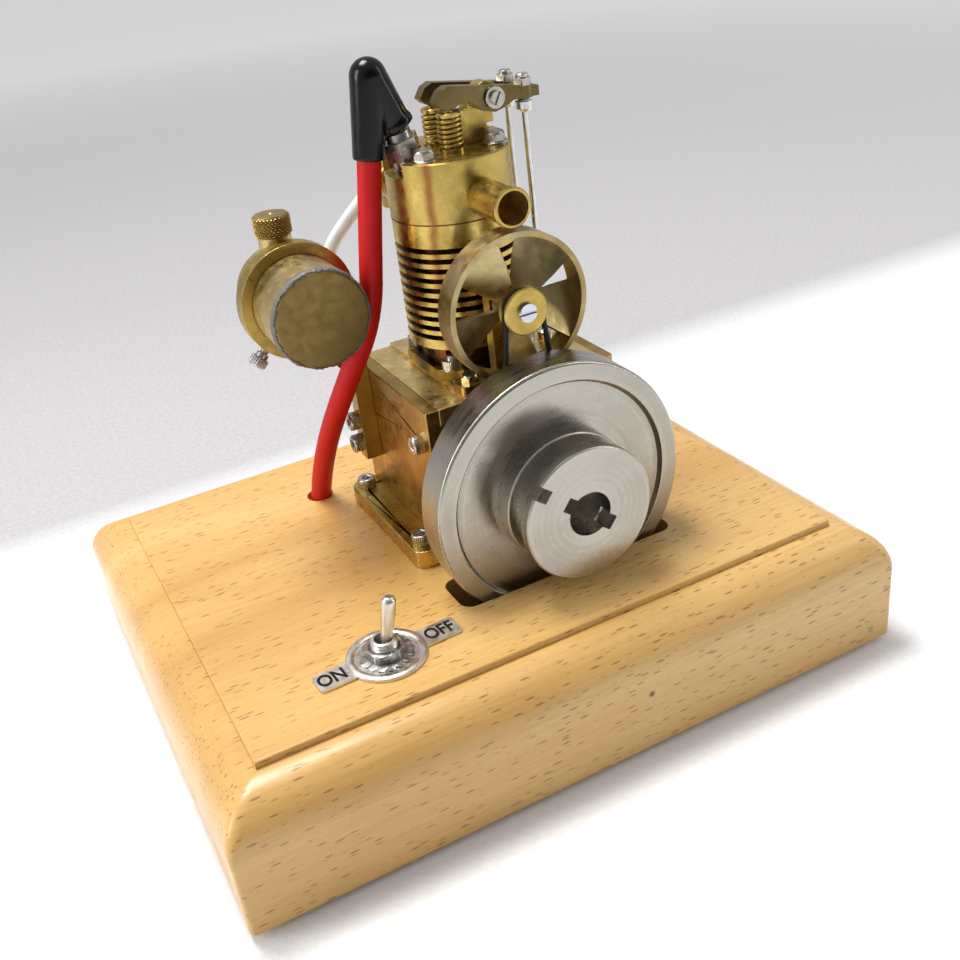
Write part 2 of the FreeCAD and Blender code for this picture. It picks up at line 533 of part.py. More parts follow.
# ---------------------------------------------------------------- cylinder and head
def cylinder():
    """Finned barrel on a flange with clipped corners; its skirt enters the roof."""
    at = ("dims.crank_x", "dims.cylinder_y", "dims.pad_top")
    rise = "(dims.joint_z - dims.pad_top)"
    outline = [("0", "0"), ("dims.spigot_radius", "0"),
               ("dims.spigot_radius", "dims.first_gap_above_pad - dims.fin_pitch"),
               ("dims.fin_radius", "dims.first_gap_above_pad - dims.fin_pitch")]
    gaps = int(size("dims.fin_count"))
    for i in range(gaps):
        low = "dims.first_gap_above_pad + %d * dims.fin_pitch" % i
        outline += [("dims.fin_radius", low), ("dims.fin_root", low),
                    ("dims.fin_root", low + " + dims.fin_gap"),
                    ("dims.fin_radius", low + " + dims.fin_gap")]
    outline += [("dims.fin_radius", rise), ("0", rise)]
    barrel = turned("barrel_blank", outline, at)
    half = "dims.flange_half"
    clip = "dims.flange_half - dims.flange_corner"
    corners = [("-(%s)" % half, "-(%s)" % clip), ("-(%s)" % clip, "-(%s)" % half),
               (clip, "-(%s)" % half), (half, "-(%s)" % clip), (half, clip), (clip, half),
               ("-(%s)" % clip, half), ("-(%s)" % half, clip)]
    flange = doc.addObject("PartDesign::Body", "flange_blank")
    sketch = outline_sketch(flange, "flange_outline", corners, "XY_Plane")
    pad = flange.newObject("PartDesign::Pad", "flange_pad")
    pad.Profile = sketch
    pad.setExpression("Length", "dims.flange_thickness")
    flange.Tip = pad
    settle(flange, at)
    skirt = rod("cylinder_skirt", "dims.bore_radius + 1.45", "7",
                (at[0], at[1], "dims.pad_top - 6"))
    bore = rod("cylinder_bore", "dims.bore_radius", "80", (at[0], at[1], "dims.roof_top - 20"))
    studs = [rod("flange_hole_%d" % i, "dims.screw_radius", "8", (x, y, "dims.pad_top - 1"))
             for i, (x, y) in enumerate(stud_places())]
    spot_faces = [rod("spot_face_%d" % i, "dims.spot_face_radius",
                      "dims.stud_nut_height + dims.stud_tip + 0.3", (x, y, "dims.flange_top"))
                  for i, (x, y) in enumerate(stud_places())]
    threads = [rod("head_thread_%d" % i, "dims.bolt_radius", "7", (x, y, "dims.joint_z - 5"))
               for i, (x, y) in enumerate(head_bolt_places())]
    node("cylinder", cut("cylinder_made", fuse("cylinder_whole", barrel, flange, skirt), bore,
                         *(studs + spot_faces + threads)))
    nuts = []
    for i, (x, y) in enumerate(stud_places()):
        nut = hex_bolt("stud_nut_%d" % i, "dims.stud_nut_flats", "dims.stud_nut_height",
                       "dims.screw_radius", "dims.flange_thickness + 5", (x, y, "dims.flange_top"))
        tip = rod("stud_tip_%d" % i, "dims.screw_radius", "dims.stud_nut_height + dims.stud_tip",
                  (x, y, "dims.flange_top"))
        nuts.append(fuse("stud_%d" % i, nut, tip))
    node("cylinder_nuts", fuse("studs_made", *nuts))


def head_bolt_places():
    return [("dims.crank_x + dims.bolt_circle * cos(%d deg)" % a,
             "dims.cylinder_y + dims.bolt_circle * sin(%d deg)" % a)
            for a in (221, 330, 41, 139)]


def cylinder_head():
    centre = ("dims.crank_x", "dims.cylinder_y")
    blank = turned("head_blank", [("0", "0"), ("dims.fin_radius", "0"),
                                  ("dims.fin_radius", "dims.head_height - dims.edge_break"),
                                  ("dims.fin_radius - dims.edge_break", "dims.head_height"),
                                  ("0", "dims.head_height")], centre + ("dims.joint_z",))
    additions = []
    tools = [rod("chamber", "dims.bore_radius", "dims.chamber_depth + 1",
                 centre + ("dims.joint_z - 1",))]
    for end, y in (("front", "dims.front_valve_y"), ("back", "dims.back_valve_y")):
        additions.append(rod(end + "_seat_ring", "dims.spring_radius + dims.spring_wire + 0.3",
                             "dims.seat_ring_height + 0.5",
                             ("dims.valve_x", y, "dims.head_top - 0.5")))
        tools.append(rod(end + "_guide", "dims.stem_radius + dims.running_clearance", "40",
                         ("dims.valve_x", y, "dims.joint_z - 5")))
        tools.append(rod(end + "_throat", "dims.port_radius + 0.2", "dims.port_z - dims.joint_z",
                         ("dims.valve_x", y, "dims.joint_z + 0.5")))
    tools.append(rod("exhaust_port", "dims.port_radius", "dims.through",
                     ("dims.valve_x", "dims.front_valve_y", "dims.port_z"), TO_FRONT))
    tools.append(rod("exhaust_socket", "dims.pipe_radius", "10",
                     ("dims.pipe_x", "dims.pipe_root", "dims.port_z"), TO_FRONT))
    tools.append(rod("inlet_port", "dims.port_radius", "dims.through",
                     ("dims.valve_x", "dims.back_valve_y", "dims.port_z"), TO_BACK))
    tools.append(rod("inlet_socket", "dims.pipe_radius", "10",
                     ("dims.valve_x", "dims.inlet_pipe_root", "dims.port_z"), TO_BACK))
    for i, (x, y) in enumerate(head_bolt_places()):
        tools.append(rod("head_hole_%d" % i, "dims.bolt_radius", "30", (x, y, "dims.joint_z - 5")))
    tools.append(plug_pocket())
    tools.append(rod("plug_thread_hole", "dims.plug_thread_radius", "14",
                     plug_place(-13), plug_turn()))
    node("cylinder_head", cut("head_made", fuse("head_whole", blank, *additions), *tools))
    for i, (x, y) in enumerate(head_bolt_places()):
        node("head_bolt_%d" % (i + 1),
             hex_bolt("head_bolt%d" % i, "dims.bolt_flats", "dims.bolt_head", "dims.bolt_radius",
                      "dims.head_height + 4.8", (x, y, "dims.head_top")))


def exhaust_pipe():
    """Plain pipe with a slightly flared lip; its root sits in a socket of the head."""
    run = "(dims.pipe_root - dims.pipe_front)"
    outline = [("dims.pipe_bore", "0"), ("dims.pipe_radius", "0"),
               ("dims.pipe_radius", run + " - 1.4"), ("dims.pipe_lip", run + " - 0.9"),
               ("dims.pipe_lip", run + " - dims.edge_break"), ("dims.pipe_lip - dims.edge_break", run),
               ("dims.pipe_bore", run)]
    node("exhaust_pipe", turned("exhaust_made", outline,
                                ("dims.pipe_x", "dims.pipe_root", "dims.port_z"), TO_FRONT))


# ---------------------------------------------------------------- spark plug, boot, cable
def plug_turn():
    return FreeCAD.Rotation(V(0, 1, 0), -size("dims.plug_lean"))


def plug_place(along):
    """Point of the plug's axis, counted up from its seat."""
    return ("dims.plug_x - (%s) * sin(dims.plug_lean * 1 deg)" % along, "dims.cylinder_y",
            "dims.plug_z + (%s) * cos(dims.plug_lean * 1 deg)" % along)


def plug_pocket():
    """Slanted notch in the head's left side that the plug stands in."""
    half = size("dims.plug_pocket_half")
    pocket = Part.makeBox(30, 2 * half, 20, V(half - 30, -half, 0))
    tool = made("plug_pocket", pocket)
    return settle(tool, plug_place(0), plug_turn())


def spark_plug():
    outline = [("0", "-dims.plug_thread_length"),
               ("dims.plug_thread_radius - 0.4", "-dims.plug_thread_length"),
               ("dims.plug_thread_radius", "0.6 - dims.plug_thread_length"),
               ("dims.plug_thread_radius", "0"), ("dims.plug_washer_radius", "0"),
               ("dims.plug_washer_radius", "dims.plug_washer_height"),
               ("dims.plug_shell_radius", "dims.plug_washer_height"),
               ("dims.plug_shell_radius", "dims.plug_shell_height"),
               ("dims.insulator_radius", "dims.plug_shell_height + 0.4"),
               ("dims.insulator_radius", "dims.insulator_height"),
               ("dims.terminal_radius", "dims.insulator_height"),
               ("dims.terminal_radius", "dims.terminal_height"), ("0", "dims.terminal_height")]
    shell = turned("plug_shell", outline, plug_place(0), plug_turn())
    nut = hexagon("plug_hex", "dims.plug_flats", "dims.plug_hex_height",
                  plug_place("dims.plug_hex_low"), plug_turn())
    node("spark_plug", fuse("plug_made", shell, nut))


BOOT_TOP = V(-2.9, 4.0, 136.5)       # centre of the round crown
BOOT_RIM = V(2.0, 4.0, 125.6)        # centre of the rim that grips the plug
CABLE_ROUTE = [V(-5.5, 4.0, 120.2), V(-8.15, 4.0, 103.6), V(-9.6, 7.4, 85.0),
               V(-16.7, 10.8, 70.9), V(-21.3, 20.6, 53.6), V(-22.6, 31.4, 36.0),
               V(-22.9, 34.4, 25.5), V(-22.9, 34.4, 16.0)]
HOSE_ROUTE = [V(-22.9, 24.0, 78.0), V(-20.3, 27.3, 72.9), V(-16.4, 32.2, 70.9),
              V(-12.4, 37.2, 72.5), V(-9.6, 40.8, 77.3), V(-8.0, 42.8, 85.3),
              V(-5.2, 41.0, 93.3), V(-0.8, 37.5, 99.6), V(3.4, 33.6, 105.2)]


def spark_plug_boot():
    """Moulded rubber cover: one leg holds the cable, the other grips the plug."""
    leg_foot = CABLE_ROUTE[0]
    crown_radius = size("dims.boot_radius")
    leg = capsule(BOOT_TOP, leg_foot, crown_radius, size("dims.boot_leg_radius"))
    branch = capsule(BOOT_TOP, BOOT_RIM, crown_radius, size("dims.boot_grip_radius"))
    along = (BOOT_RIM - BOOT_TOP).normalize()
    bead_length = size("dims.boot_bead_length")
    bead = Part.makeCylinder(size("dims.boot_bead_radius"), bead_length,
                             BOOT_RIM - along * bead_length, along)
    crown = Part.makeSphere(crown_radius, BOOT_TOP)
    whole = crown.fuse([leg, branch, bead])
    axis = plug_turn().multVec(V(0, 0, 1))
    seat = V(*[size(formula) for formula in plug_place(0)])
    shell = Part.makeCylinder(size("dims.plug_shell_radius"), size("dims.insulator_height"),
                              seat, axis)
    terminal = Part.makeCylinder(size("dims.terminal_radius"), size("dims.terminal_height"),
                                 seat, axis)
    clear_of_hexagon = Part.makeCylinder(
        size("dims.boot_hollow_radius"),
        size("dims.plug_hex_low + dims.plug_hex_height + 0.2"), seat, axis)
    hollow = [shell, terminal, clear_of_hexagon]
    node("plug_boot", made("boot_made", whole.cut(hollow).removeSplitter()))


def nipple(name, tip, towards, length):
    """Hose connection: a short spigot whose tip meets the end of the hose."""
    along = V(towards).normalize()
    return made(name, Part.makeCylinder(size("dims.nipple_radius"), length, tip, along))


def capsule(start, end, start_radius, end_radius):
    along = end - start
    return Part.makeCone(start_radius, end_radius, along.Length, start, along)


def tube_along(route, radius, name):
    """Tube of straight runs joined by tangent arcs as large as the runs allow."""
    edges = []
    here = route[0]
    for i in range(1, len(route) - 1):
        before = (route[i] - route[i - 1])
        after = (route[i + 1] - route[i])
        half_turn = before.getAngle(after) / 2
        reach = 0.45 * min(before.Length, after.Length)
        arc_radius = reach / math.tan(half_turn)
        into = before.normalize()
        out = after.normalize()
        first = route[i] - into * reach
        last = route[i] + out * reach
        inward = (out - into).normalize()
        centre = route[i] + inward * (arc_radius / math.cos(half_turn))
        middle = centre - inward * arc_radius
        edges.append(Part.LineSegment(here, first).toShape())
        edges.append(Part.Arc(first, middle, last).toShape())
        here = last
        print("%s arc %d radius %.1f, %.1f diameters" % (name, i, arc_radius,
                                                         arc_radius / radius / 2))
    edges.append(Part.LineSegment(here, route[-1]).toShape())
    path = Part.Wire(edges)
    ring = Part.Wire(Part.makeCircle(radius, route[0], route[1] - route[0]))
    tube = path.makePipeShell([ring], True, False)
    print("%s length %.1f, volume %.1f, section times length %.1f" % (
        name, path.Length, tube.Volume, math.pi * radius ** 2 * path.Length))
    return tube


def cords():
    node("ignition_cable", made("cable_made", tube_along(
        CABLE_ROUTE, size("dims.cable_radius"), "ignition_cable")))
    node("fuel_hose", made("hose_made", tube_along(
        HOSE_ROUTE, size("dims.hose_radius"), "fuel_hose")))


# ---------------------------------------------------------------- valve gear
def valve(name, y):
    """Poppet valve with its spring retainer."""
    rise = "(dims.retainer_top - dims.joint_z - dims.chamber_depth + dims.valve_head_height)"
    outline = [("0", "0"), ("dims.valve_head_radius", "0"), ("dims.valve_head_radius", "0.5"),
               ("dims.stem_radius", "dims.valve_head_height"),
               ("dims.stem_radius", rise + " - dims.retainer_height"),
               ("dims.retainer_radius", rise + " - dims.retainer_height"),
               ("dims.retainer_radius", rise + " - dims.edge_break"),
               ("dims.retainer_radius - dims.edge_break", rise), ("dims.stem_radius", rise),
               ("dims.stem_radius", rise + " + dims.stem_tip"),
               ("0", rise + " + dims.stem_tip")]
    node(name, turned(name + "_made", outline,
                      ("dims.valve_x", y, "dims.chamber_z - dims.valve_head_height")))


def valve_spring(name, y):
    wire = size("dims.spring_wire")
    radius = size("dims.spring_radius")
    rise = size("dims.spring_height") - 2 * wire
    helix = Part.makeHelix(rise / size("dims.spring_turns"), rise, radius)
    ring = Part.Wire(Part.makeCircle(wire, V(radius, 0, 0), V(0, 1, 0)))
    coil = Part.Wire(helix.Edges).makePipeShell([ring], True, True)
    spring = made(name + "_made", coil)
    node(name, settle(spring, ("dims.valve_x", y, "dims.seat_top + dims.spring_wire")))


def rocker(name, y):
    """Bell of brass bar: a nose over the valve, an eye on the shaft, a tail with its adjuster.

    The arm's corners are measured across and up from the pivot.
    """
    front = "%s - dims.rocker_width / 2" % y
    nose = "dims.retainer_top + dims.stem_tip + dims.nose_gap - dims.pivot_z"
    corners = [("-9.4", nose), ("-8.4", nose + " + 0.5"), ("-5.4", "0.1"), ("-3", "-2.2"),
               ("0", "-3"), ("2.6", "-2.4"), ("4.6", "-1.4"), ("10.9", "-1.5"),
               ("10.9", "0.6"), ("3.6", "1.8"), ("-6.6", "3.5"), ("-10.4", "4.1"),
               ("-12.2", "3.3"), ("-13.6", "1.2"), ("-12.6", nose + " + 0.6"),
               ("-11.4", nose)]
    arm = profile(name + "_arm", corners, "dims.rocker_width",
                  ("dims.rocker_pivot_x", front, "dims.pivot_z"))
    eye = rod(name + "_eye", "dims.rocker_shaft_radius + dims.running_clearance",
              "dims.through",
              ("dims.rocker_pivot_x", y + " - 10", "dims.pivot_z"), TO_BACK)
    adjuster = rod(name + "_adjuster", "dims.adjuster_radius", "dims.adjuster_length",
                   ("dims.pushrod_x", y, "dims.pivot_z - dims.adjuster_below_pivot"))
    nut = hexagon(name + "_locknut", "dims.locknut_flats", "dims.locknut_height",
                  ("dims.pushrod_x", y, "dims.pivot_z + dims.locknut_above_pivot"))
    lug = rod(name + "_lug", "dims.lug_radius", "dims.lug_height",
              ("dims.pushrod_x", y, "dims.pivot_z - dims.lug_below_pivot"))
    node(name, cut(name + "_cut", fuse(name + "_whole", arm, adjuster, nut, lug), eye))


def pushrod(name, y):
    """Steel rod with a cup at the top and a tappet at its foot."""
    rise = "(dims.pivot_z - dims.pushrod_top_below_pivot - dims.tappet_z)"
    shoulder = "dims.roof_top - dims.tappet_z + dims.tappet_above_roof"
    outline = [("0", "0"), ("dims.tappet_radius", "0"),
               ("dims.tappet_radius", shoulder), ("dims.pushrod_radius", shoulder + " + 0.6"),
               ("dims.pushrod_radius", rise + " - dims.pushrod_cup_height"),
               ("dims.pushrod_cup_radius - 0.4", rise + " - dims.pushrod_cup_height + 0.3"),
               ("dims.pushrod_cup_radius", rise + " - dims.pushrod_cup_height + 0.8"),
               ("dims.pushrod_cup_radius", rise), ("0", rise)]
    node(name, turned(name + "_made", outline, ("dims.pushrod_x", y, "dims.tappet_z")))


def rocker_stand():
    """Pedestal between the rockers with a hollowed back edge, and the shaft through it.

    The pedestal's corners are measured from the pivot's line and up from the head.
    """
    corners = [("-7", "0"), ("2.4", "0"), ("2.4", "1.8"), ("0.4", "2"), ("-0.6", "3"),
               ("-0.9", "4.6"), ("-0.3", "6.2"), ("-7", "7.4")]
    pedestal = profile("stand_blank", corners, "dims.stand_width",
                       ("dims.rocker_pivot_x", "dims.stand_front", "dims.head_top"))
    boss = rod("stand_boss", "dims.rocker_boss", "dims.stand_width",
               ("dims.rocker_pivot_x", "dims.stand_front", "dims.pivot_z"), TO_BACK)
    neck = block("stand_neck", ("dims.neck_side", "dims.stand_width", "dims.neck_side"),
                 ("dims.rocker_pivot_x - dims.neck_side + 1", "dims.stand_front",
                  "dims.pivot_z - dims.neck_below_pivot"))
    hole = rod("stand_hole", "dims.rocker_shaft_radius", "dims.through",
               ("dims.rocker_pivot_x", "dims.stand_front - 8", "dims.pivot_z"), TO_BACK)
    node("rocker_stand", cut("stand_made", fuse("stand_whole", pedestal, boss, neck), hole))
    front = "dims.front_valve_y - dims.rocker_width / 2 - dims.shaft_end"
    run = "dims.back_valve_y - dims.front_valve_y + dims.rocker_width + 2 * dims.shaft_end"
    node("rocker_shaft", rod("rocker_shaft_made", "dims.rocker_shaft_radius", run,
                             ("dims.rocker_pivot_x", front, "dims.pivot_z"), TO_BACK))


# ---------------------------------------------------------------- crank train
def flywheel():
    depth = "(dims.wheel_back - dims.wheel_front)"
    outline = [("dims.shaft_radius", "dims.wheel_back - dims.web_back"),
               ("dims.wheel_boss_radius", "dims.wheel_back - dims.web_back"),
               ("dims.rim_inner - 1", "dims.wheel_back - dims.web_back"),
               ("dims.rim_inner", "0"), ("dims.wheel_radius - dims.wheel_edge", "0"),
               ("dims.wheel_radius", "dims.wheel_edge"),
               ("dims.wheel_radius", depth + " - dims.wheel_edge"),
               ("dims.wheel_radius - dims.wheel_edge", depth),
               ("dims.rim_inner", depth),
               ("dims.rim_inner - 0.6", "dims.wheel_back - dims.web_front"),
               ("dims.shaft_radius", "dims.wheel_back - dims.web_front")]
    node("flywheel", turned("flywheel_made", outline,
                            ("dims.crank_x", "dims.wheel_back", "dims.crank_z"), TO_FRONT))


def starter_hub():
    """Rope pulley with a blind starter socket, its two lobes and a knot notch in the rim."""
    zero = "dims.web_front - "
    face = "(dims.web_front - dims.hub_front)"
    outline = [("0", "0"), ("dims.hub_radius", "0"),
               ("dims.hub_radius", zero + "dims.hub_disc_front - dims.edge_break"),
               ("dims.hub_radius - dims.edge_break", zero + "dims.hub_disc_front"),
               ("dims.groove_radius", zero + "dims.hub_disc_front"),
               ("dims.groove_radius", zero + "dims.front_disc_back"),
               ("dims.hub_radius", zero + "dims.front_disc_back"),
               ("dims.hub_radius", face + " - dims.edge_break"),
               ("dims.hub_radius - dims.edge_break", face),
               ("0", face)]
    centre = ("dims.crank_x", "dims.web_front", "dims.crank_z")
    blank = turned("hub_blank", outline, centre, TO_FRONT)
    shaft = rod("hub_shaft_hole", "dims.shaft_radius", "2", ("dims.crank_x", "dims.web_front - 1.5",
                                                          "dims.crank_z"), TO_BACK)
    socket = rod("hub_socket", "dims.socket_radius", "dims.socket_depth + 2",
                 ("dims.crank_x", "dims.hub_front - 2", "dims.crank_z"), TO_BACK)
    reach = size("dims.lobe_reach")
    width = size("dims.lobe_width")
    slot = Part.makeBox(2 * reach, size("dims.lobe_depth") + 2, width,
                        V(-reach, -2, -width / 2))
    far = size("dims.hub_radius")
    knot = Part.makeBox(size("dims.notch_depth") + 2, 4.5, size("dims.notch_width"),
                        V(-far - 2, -2, -size("dims.notch_width") / 2))
    lobes = settle(made("hub_lobes", slot.fuse(knot)),
                   ("dims.crank_x", "dims.hub_front", "dims.crank_z"),
                   FreeCAD.Rotation(V(0, 1, 0), size("dims.lobe_angle")))
    node("starter_hub", cut("hub_made", blank, shaft, socket, lobes))


def crankshaft():
    """Front half to the flywheel and rear half to the timing pinion, each with a crank web."""
    gap = "(dims.rod_width / 2 + dims.rod_gap)"
    pin = ("dims.crank_x", "dims.crank_z + dims.crank_throw")
    front_web_back = "dims.cylinder_y - %s" % gap
    front = fuse("front_crank", rod("front_shaft", "dims.shaft_radius",
                                    "dims.cylinder_y - %s - 1 - (dims.web_front - 1.4)" % gap,
                                    ("dims.crank_x", "dims.web_front - 1.4", "dims.crank_z"), TO_BACK),
                 rod("front_web", "dims.crank_web_radius", "dims.crank_web_thickness",
                     ("dims.crank_x", front_web_back + " - dims.crank_web_thickness",
                      "dims.crank_z"), TO_BACK),
                 rod("front_pin", "dims.crank_pin_radius", "dims.crank_pin_stub + 1",
                     (pin[0], front_web_back + " - 1", pin[1]), TO_BACK))
    node("crankshaft_front", front)
    rear_web_front = "dims.cylinder_y + %s" % gap
    rear = fuse("rear_crank", rod("rear_shaft", "dims.shaft_radius",
                                  "dims.gear_front - (%s) - 1" % rear_web_front,
                                  ("dims.crank_x", rear_web_front + " + 1", "dims.crank_z"), TO_BACK),
                rod("rear_web", "dims.crank_web_radius", "dims.crank_web_thickness",
                    ("dims.crank_x", rear_web_front, "dims.crank_z"), TO_BACK),
                rod("rear_pin", "dims.crank_pin_radius", "dims.crank_pin_stub + 1",
                    (pin[0], rear_web_front + " - dims.crank_pin_stub", pin[1]), TO_BACK),
                gear("pinion", "dims.pinion_teeth", "dims.crank_x", "dims.crank_z", True))
    node("crankshaft_rear", rear)
    length = "dims.drive_pulley_length"
    outline = [("dims.shaft_radius", "0"), ("dims.drive_pulley_radius", "0")]
    outline += belt_groove("dims.drive_pulley_radius", "dims.drive_belt_run", "dims.wheel_back")
    outline += [("dims.drive_pulley_radius", length), ("dims.drive_boss_radius", length),
                ("dims.drive_boss_radius", "dims.drive_boss_length"),
                ("dims.shaft_radius", "dims.drive_boss_length")]
    node("crank_pulley", turned("crank_pulley_made", outline,
                                ("dims.crank_x", "dims.wheel_back", "dims.crank_z"), TO_BACK))


def belt_groove(rim, run, face):
    """Corners of a belt groove in a pulley whose face is at the given place along Y."""
    middle = "dims.belt_plane - " + face
    floor = run + " - dims.groove_depth"
    return [(rim, middle + " - dims.groove_mouth / 2"), (floor, middle + " - dims.groove_floor / 2"),
            (floor, middle + " + dims.groove_floor / 2"), (rim, middle + " + dims.groove_mouth / 2")]


def gear(name, teeth, x, z, meshes_at_tooth):
    """Spur gear; one tooth, or one gap, points along the line between the two shafts."""
    count = int(size(teeth))
    line = math.atan2(size("dims.cam_above_crank"), size("dims.cam_x - dims.crank_x"))
    apart = math.hypot(size("dims.cam_above_crank"), size("dims.cam_x - dims.crank_x"))
    module = 2 * apart / (size("dims.pinion_teeth") + size("dims.cam_gear_teeth"))
    pitch = module * count / 2
    step = 2 * math.pi / count
    start = line if meshes_at_tooth else line + math.pi + step / 2
    points = []
    for i in range(count):
        for offset, radius in ((-0.30, pitch - 1.15 * module), (-0.21, pitch),
                               (-0.10, pitch + 0.85 * module), (0.10, pitch + 0.85 * module),
                               (0.21, pitch), (0.30, pitch - 1.15 * module)):
            angle = start + (i + offset) * step
            points.append(V(radius * math.cos(angle), 0, radius * math.sin(angle)))
    wire = Part.makePolygon(points + [points[0]])
    wheel = Part.Face(wire).extrude(V(0, size("dims.gear_thickness"), 0))
    return settle(made(name, wheel), (x, "dims.gear_front", z))


def camshaft():
    """Shaft with two cams inside the case and the big timing gear behind it."""
    shaft = rod("cam_rod", "dims.cam_shaft_radius", "dims.gear_front - dims.cam_shaft_front",
                ("dims.cam_x", "dims.cam_shaft_front", "dims.cam_z"), TO_BACK)
    reach = "(dims.cam_radius + dims.cam_lift - dims.cam_nose_radius)"
    cams = []
    for end, y in (("exhaust", "dims.front_valve_y"), ("inlet", "dims.back_valve_y")):
        angle = "dims.%s_cam_angle * 1 deg" % end
        low = "%s - dims.cam_width / 2" % y
        disc = rod(end + "_cam_base", "dims.cam_radius", "dims.cam_width",
                   ("dims.cam_x", low, "dims.cam_z"), TO_BACK)
        nose = rod(end + "_cam_nose", "dims.cam_nose_radius", "dims.cam_width",
                   ("dims.cam_x + %s * cos(%s)" % (reach, angle), low,
                    "dims.cam_z + %s * sin(%s)" % (reach, angle)), TO_BACK)
        cams += [disc, nose]
    wheel = gear("cam_gear", "dims.cam_gear_teeth", "dims.cam_x", "dims.cam_z", False)
    node("camshaft", fuse("camshaft_made", shaft, wheel, *cams))


def piston_and_rod():
    centre = ("dims.crank_x", "dims.cylinder_y")
    low = "dims.pin_z + dims.piston_crown_above_pin - dims.piston_length"
    inner = "dims.piston_radius - dims.piston_wall"
    under_crown = "dims.piston_length - dims.crown_thickness"
    outline = [("0", under_crown), (inner, under_crown), (inner, "0"), ("dims.piston_radius", "0"),
               ("dims.piston_radius", "dims.piston_length"), ("0", "dims.piston_length")]
    crown = turned("piston_blank", outline, centre + (low,))
    pin_hole = rod("piston_pin_hole", "dims.wrist_pin_radius", "30",
                   ("dims.crank_x", "dims.cylinder_y - 15", "dims.pin_z"), TO_BACK)
    node("piston", cut("piston_made", crown, pin_hole))
    front = "dims.cylinder_y - dims.rod_width / 2"
    big_z = "dims.crank_z + dims.crank_throw"
    shank = block("rod_shank", ("dims.rod_width", "dims.rod_width", "dims.rod_length"),
                  ("dims.crank_x - dims.rod_width / 2", front, big_z))
    big = rod("rod_big_eye", "dims.rod_eye", "dims.rod_width", ("dims.crank_x", front, big_z), TO_BACK)
    small = rod("rod_small_eye", "dims.rod_small_eye", "dims.rod_width",
                ("dims.crank_x", front, "dims.pin_z"), TO_BACK)
    pin = rod("rod_wrist_pin", "dims.wrist_pin_radius",
              "2 * (dims.piston_radius - dims.wrist_pin_inset)",
              ("dims.crank_x", "dims.cylinder_y - dims.piston_radius + dims.wrist_pin_inset",
               "dims.pin_z"), TO_BACK)
    hole = rod("rod_big_hole", "dims.crank_pin_radius + dims.running_clearance",
               "dims.through",
               ("dims.crank_x", "dims.cylinder_y - 10", big_z), TO_BACK)
    node("connecting_rod", fuse("rod_made", cut("rod_cut", fuse("rod_whole", shank, big, small), hole), pin))


# ---------------------------------------------------------------- fan
def fan_foot_screws():
    return ("dims.crank_x - dims.foot_screw_spread", "dims.crank_x + dims.foot_screw_spread")


def fan():
    depth = "dims.fan_depth"
    outline = [("dims.fan_radius - dims.fan_rim", "0"), ("dims.fan_radius", "0"),
               ("dims.fan_radius", depth), ("dims.fan_radius - dims.fan_rim", depth)]
    centre = ("dims.crank_x", "dims.fan_front", "dims.fan_z")
    rim = turned("fan_rim", outline, centre, TO_BACK)
    hub = rod("fan_hub", "dims.fan_hub_radius", depth, centre, TO_BACK)
    blades = []
    count = int(size("dims.fan_blades"))
    for i in range(count):
        turn = FreeCAD.Rotation(V(0, 1, 0), 360.0 * i / count + size("dims.blade_lead"))
        blades.append(settle(made("fan_blade_%d" % i, fan_blade()), centre, turn))
    hole = rod("fan_hole", "dims.fan_axle_radius", "dims.through",
               (centre[0], "dims.fan_front - 5", centre[2]), TO_BACK)
    node("fan_wheel", cut("fan_made", fuse("fan_whole", rim, hub, *blades), hole))
    pulley = [("dims.fan_axle_radius", "0"), ("dims.fan_pulley_radius - dims.edge_break", "0"),
              ("dims.fan_pulley_radius", "dims.edge_break")]
    pulley += belt_groove("dims.fan_pulley_radius", "dims.fan_belt_run", "dims.fan_pulley_front")
    pulley += [("dims.fan_pulley_radius", "dims.fan_pulley_length"),
               ("dims.fan_axle_radius", "dims.fan_pulley_length")]
    node("fan_pulley", turned("fan_pulley_made", pulley,
                              ("dims.crank_x", "dims.fan_pulley_front", "dims.fan_z"), TO_BACK))
    head_front = "dims.fan_pulley_front - dims.fan_axle_head_height"
    head = rod("axle_head", "dims.fan_axle_head", "dims.fan_axle_head_height",
               ("dims.crank_x", head_front, "dims.fan_z"), TO_BACK)
    shank = rod("axle_shank", "dims.fan_axle_radius", "dims.fan_axle_length",
                ("dims.crank_x", "dims.fan_pulley_front - 0.1", "dims.fan_z"), TO_BACK)
    slot = block("axle_slot", ("3 * dims.fan_axle_head", "dims.axle_slot_depth",
                               "dims.axle_slot_width"),
                 ("dims.crank_x - 1.5 * dims.fan_axle_head", head_front,
                  "dims.fan_z - dims.axle_slot_width / 2"))
    node("fan_axle", cut("axle_made", fuse("axle_whole", head, shank), slot))


def fan_blade():
    """One twisted blade from the hub into the rim, pointing along +X before it is turned.

    Its three sections each have a distance from the axis, a chord and a pitch angle.
    """
    depth = size("dims.fan_depth")
    thick = size("dims.blade_thickness")
    sections = []
    for radius, chord, pitch in ((2.6, 5.0, 52), (9.0, 9.6, 32), (15.4, 13.6, 21)):
        angle = math.radians(pitch)
        across = V(0, math.sin(angle), math.cos(angle))
        normal = V(0, math.cos(angle), -math.sin(angle))
        centre = V(radius, depth / 2, 0)
        corners = [centre + across * (chord * s / 2) + normal * (thick * n / 2)
                   for s, n in ((-1, -1), (1, -1), (1, 1), (-1, 1))]
        sections.append(Part.makePolygon(corners + [corners[0]]))
    blade = Part.makeLoft(sections, True, True)
    bound = Part.makeCylinder(size("dims.fan_radius - dims.fan_rim / 2"), depth, V(0, 0, 0), V(0, 1, 0))
    return blade.common(bound)


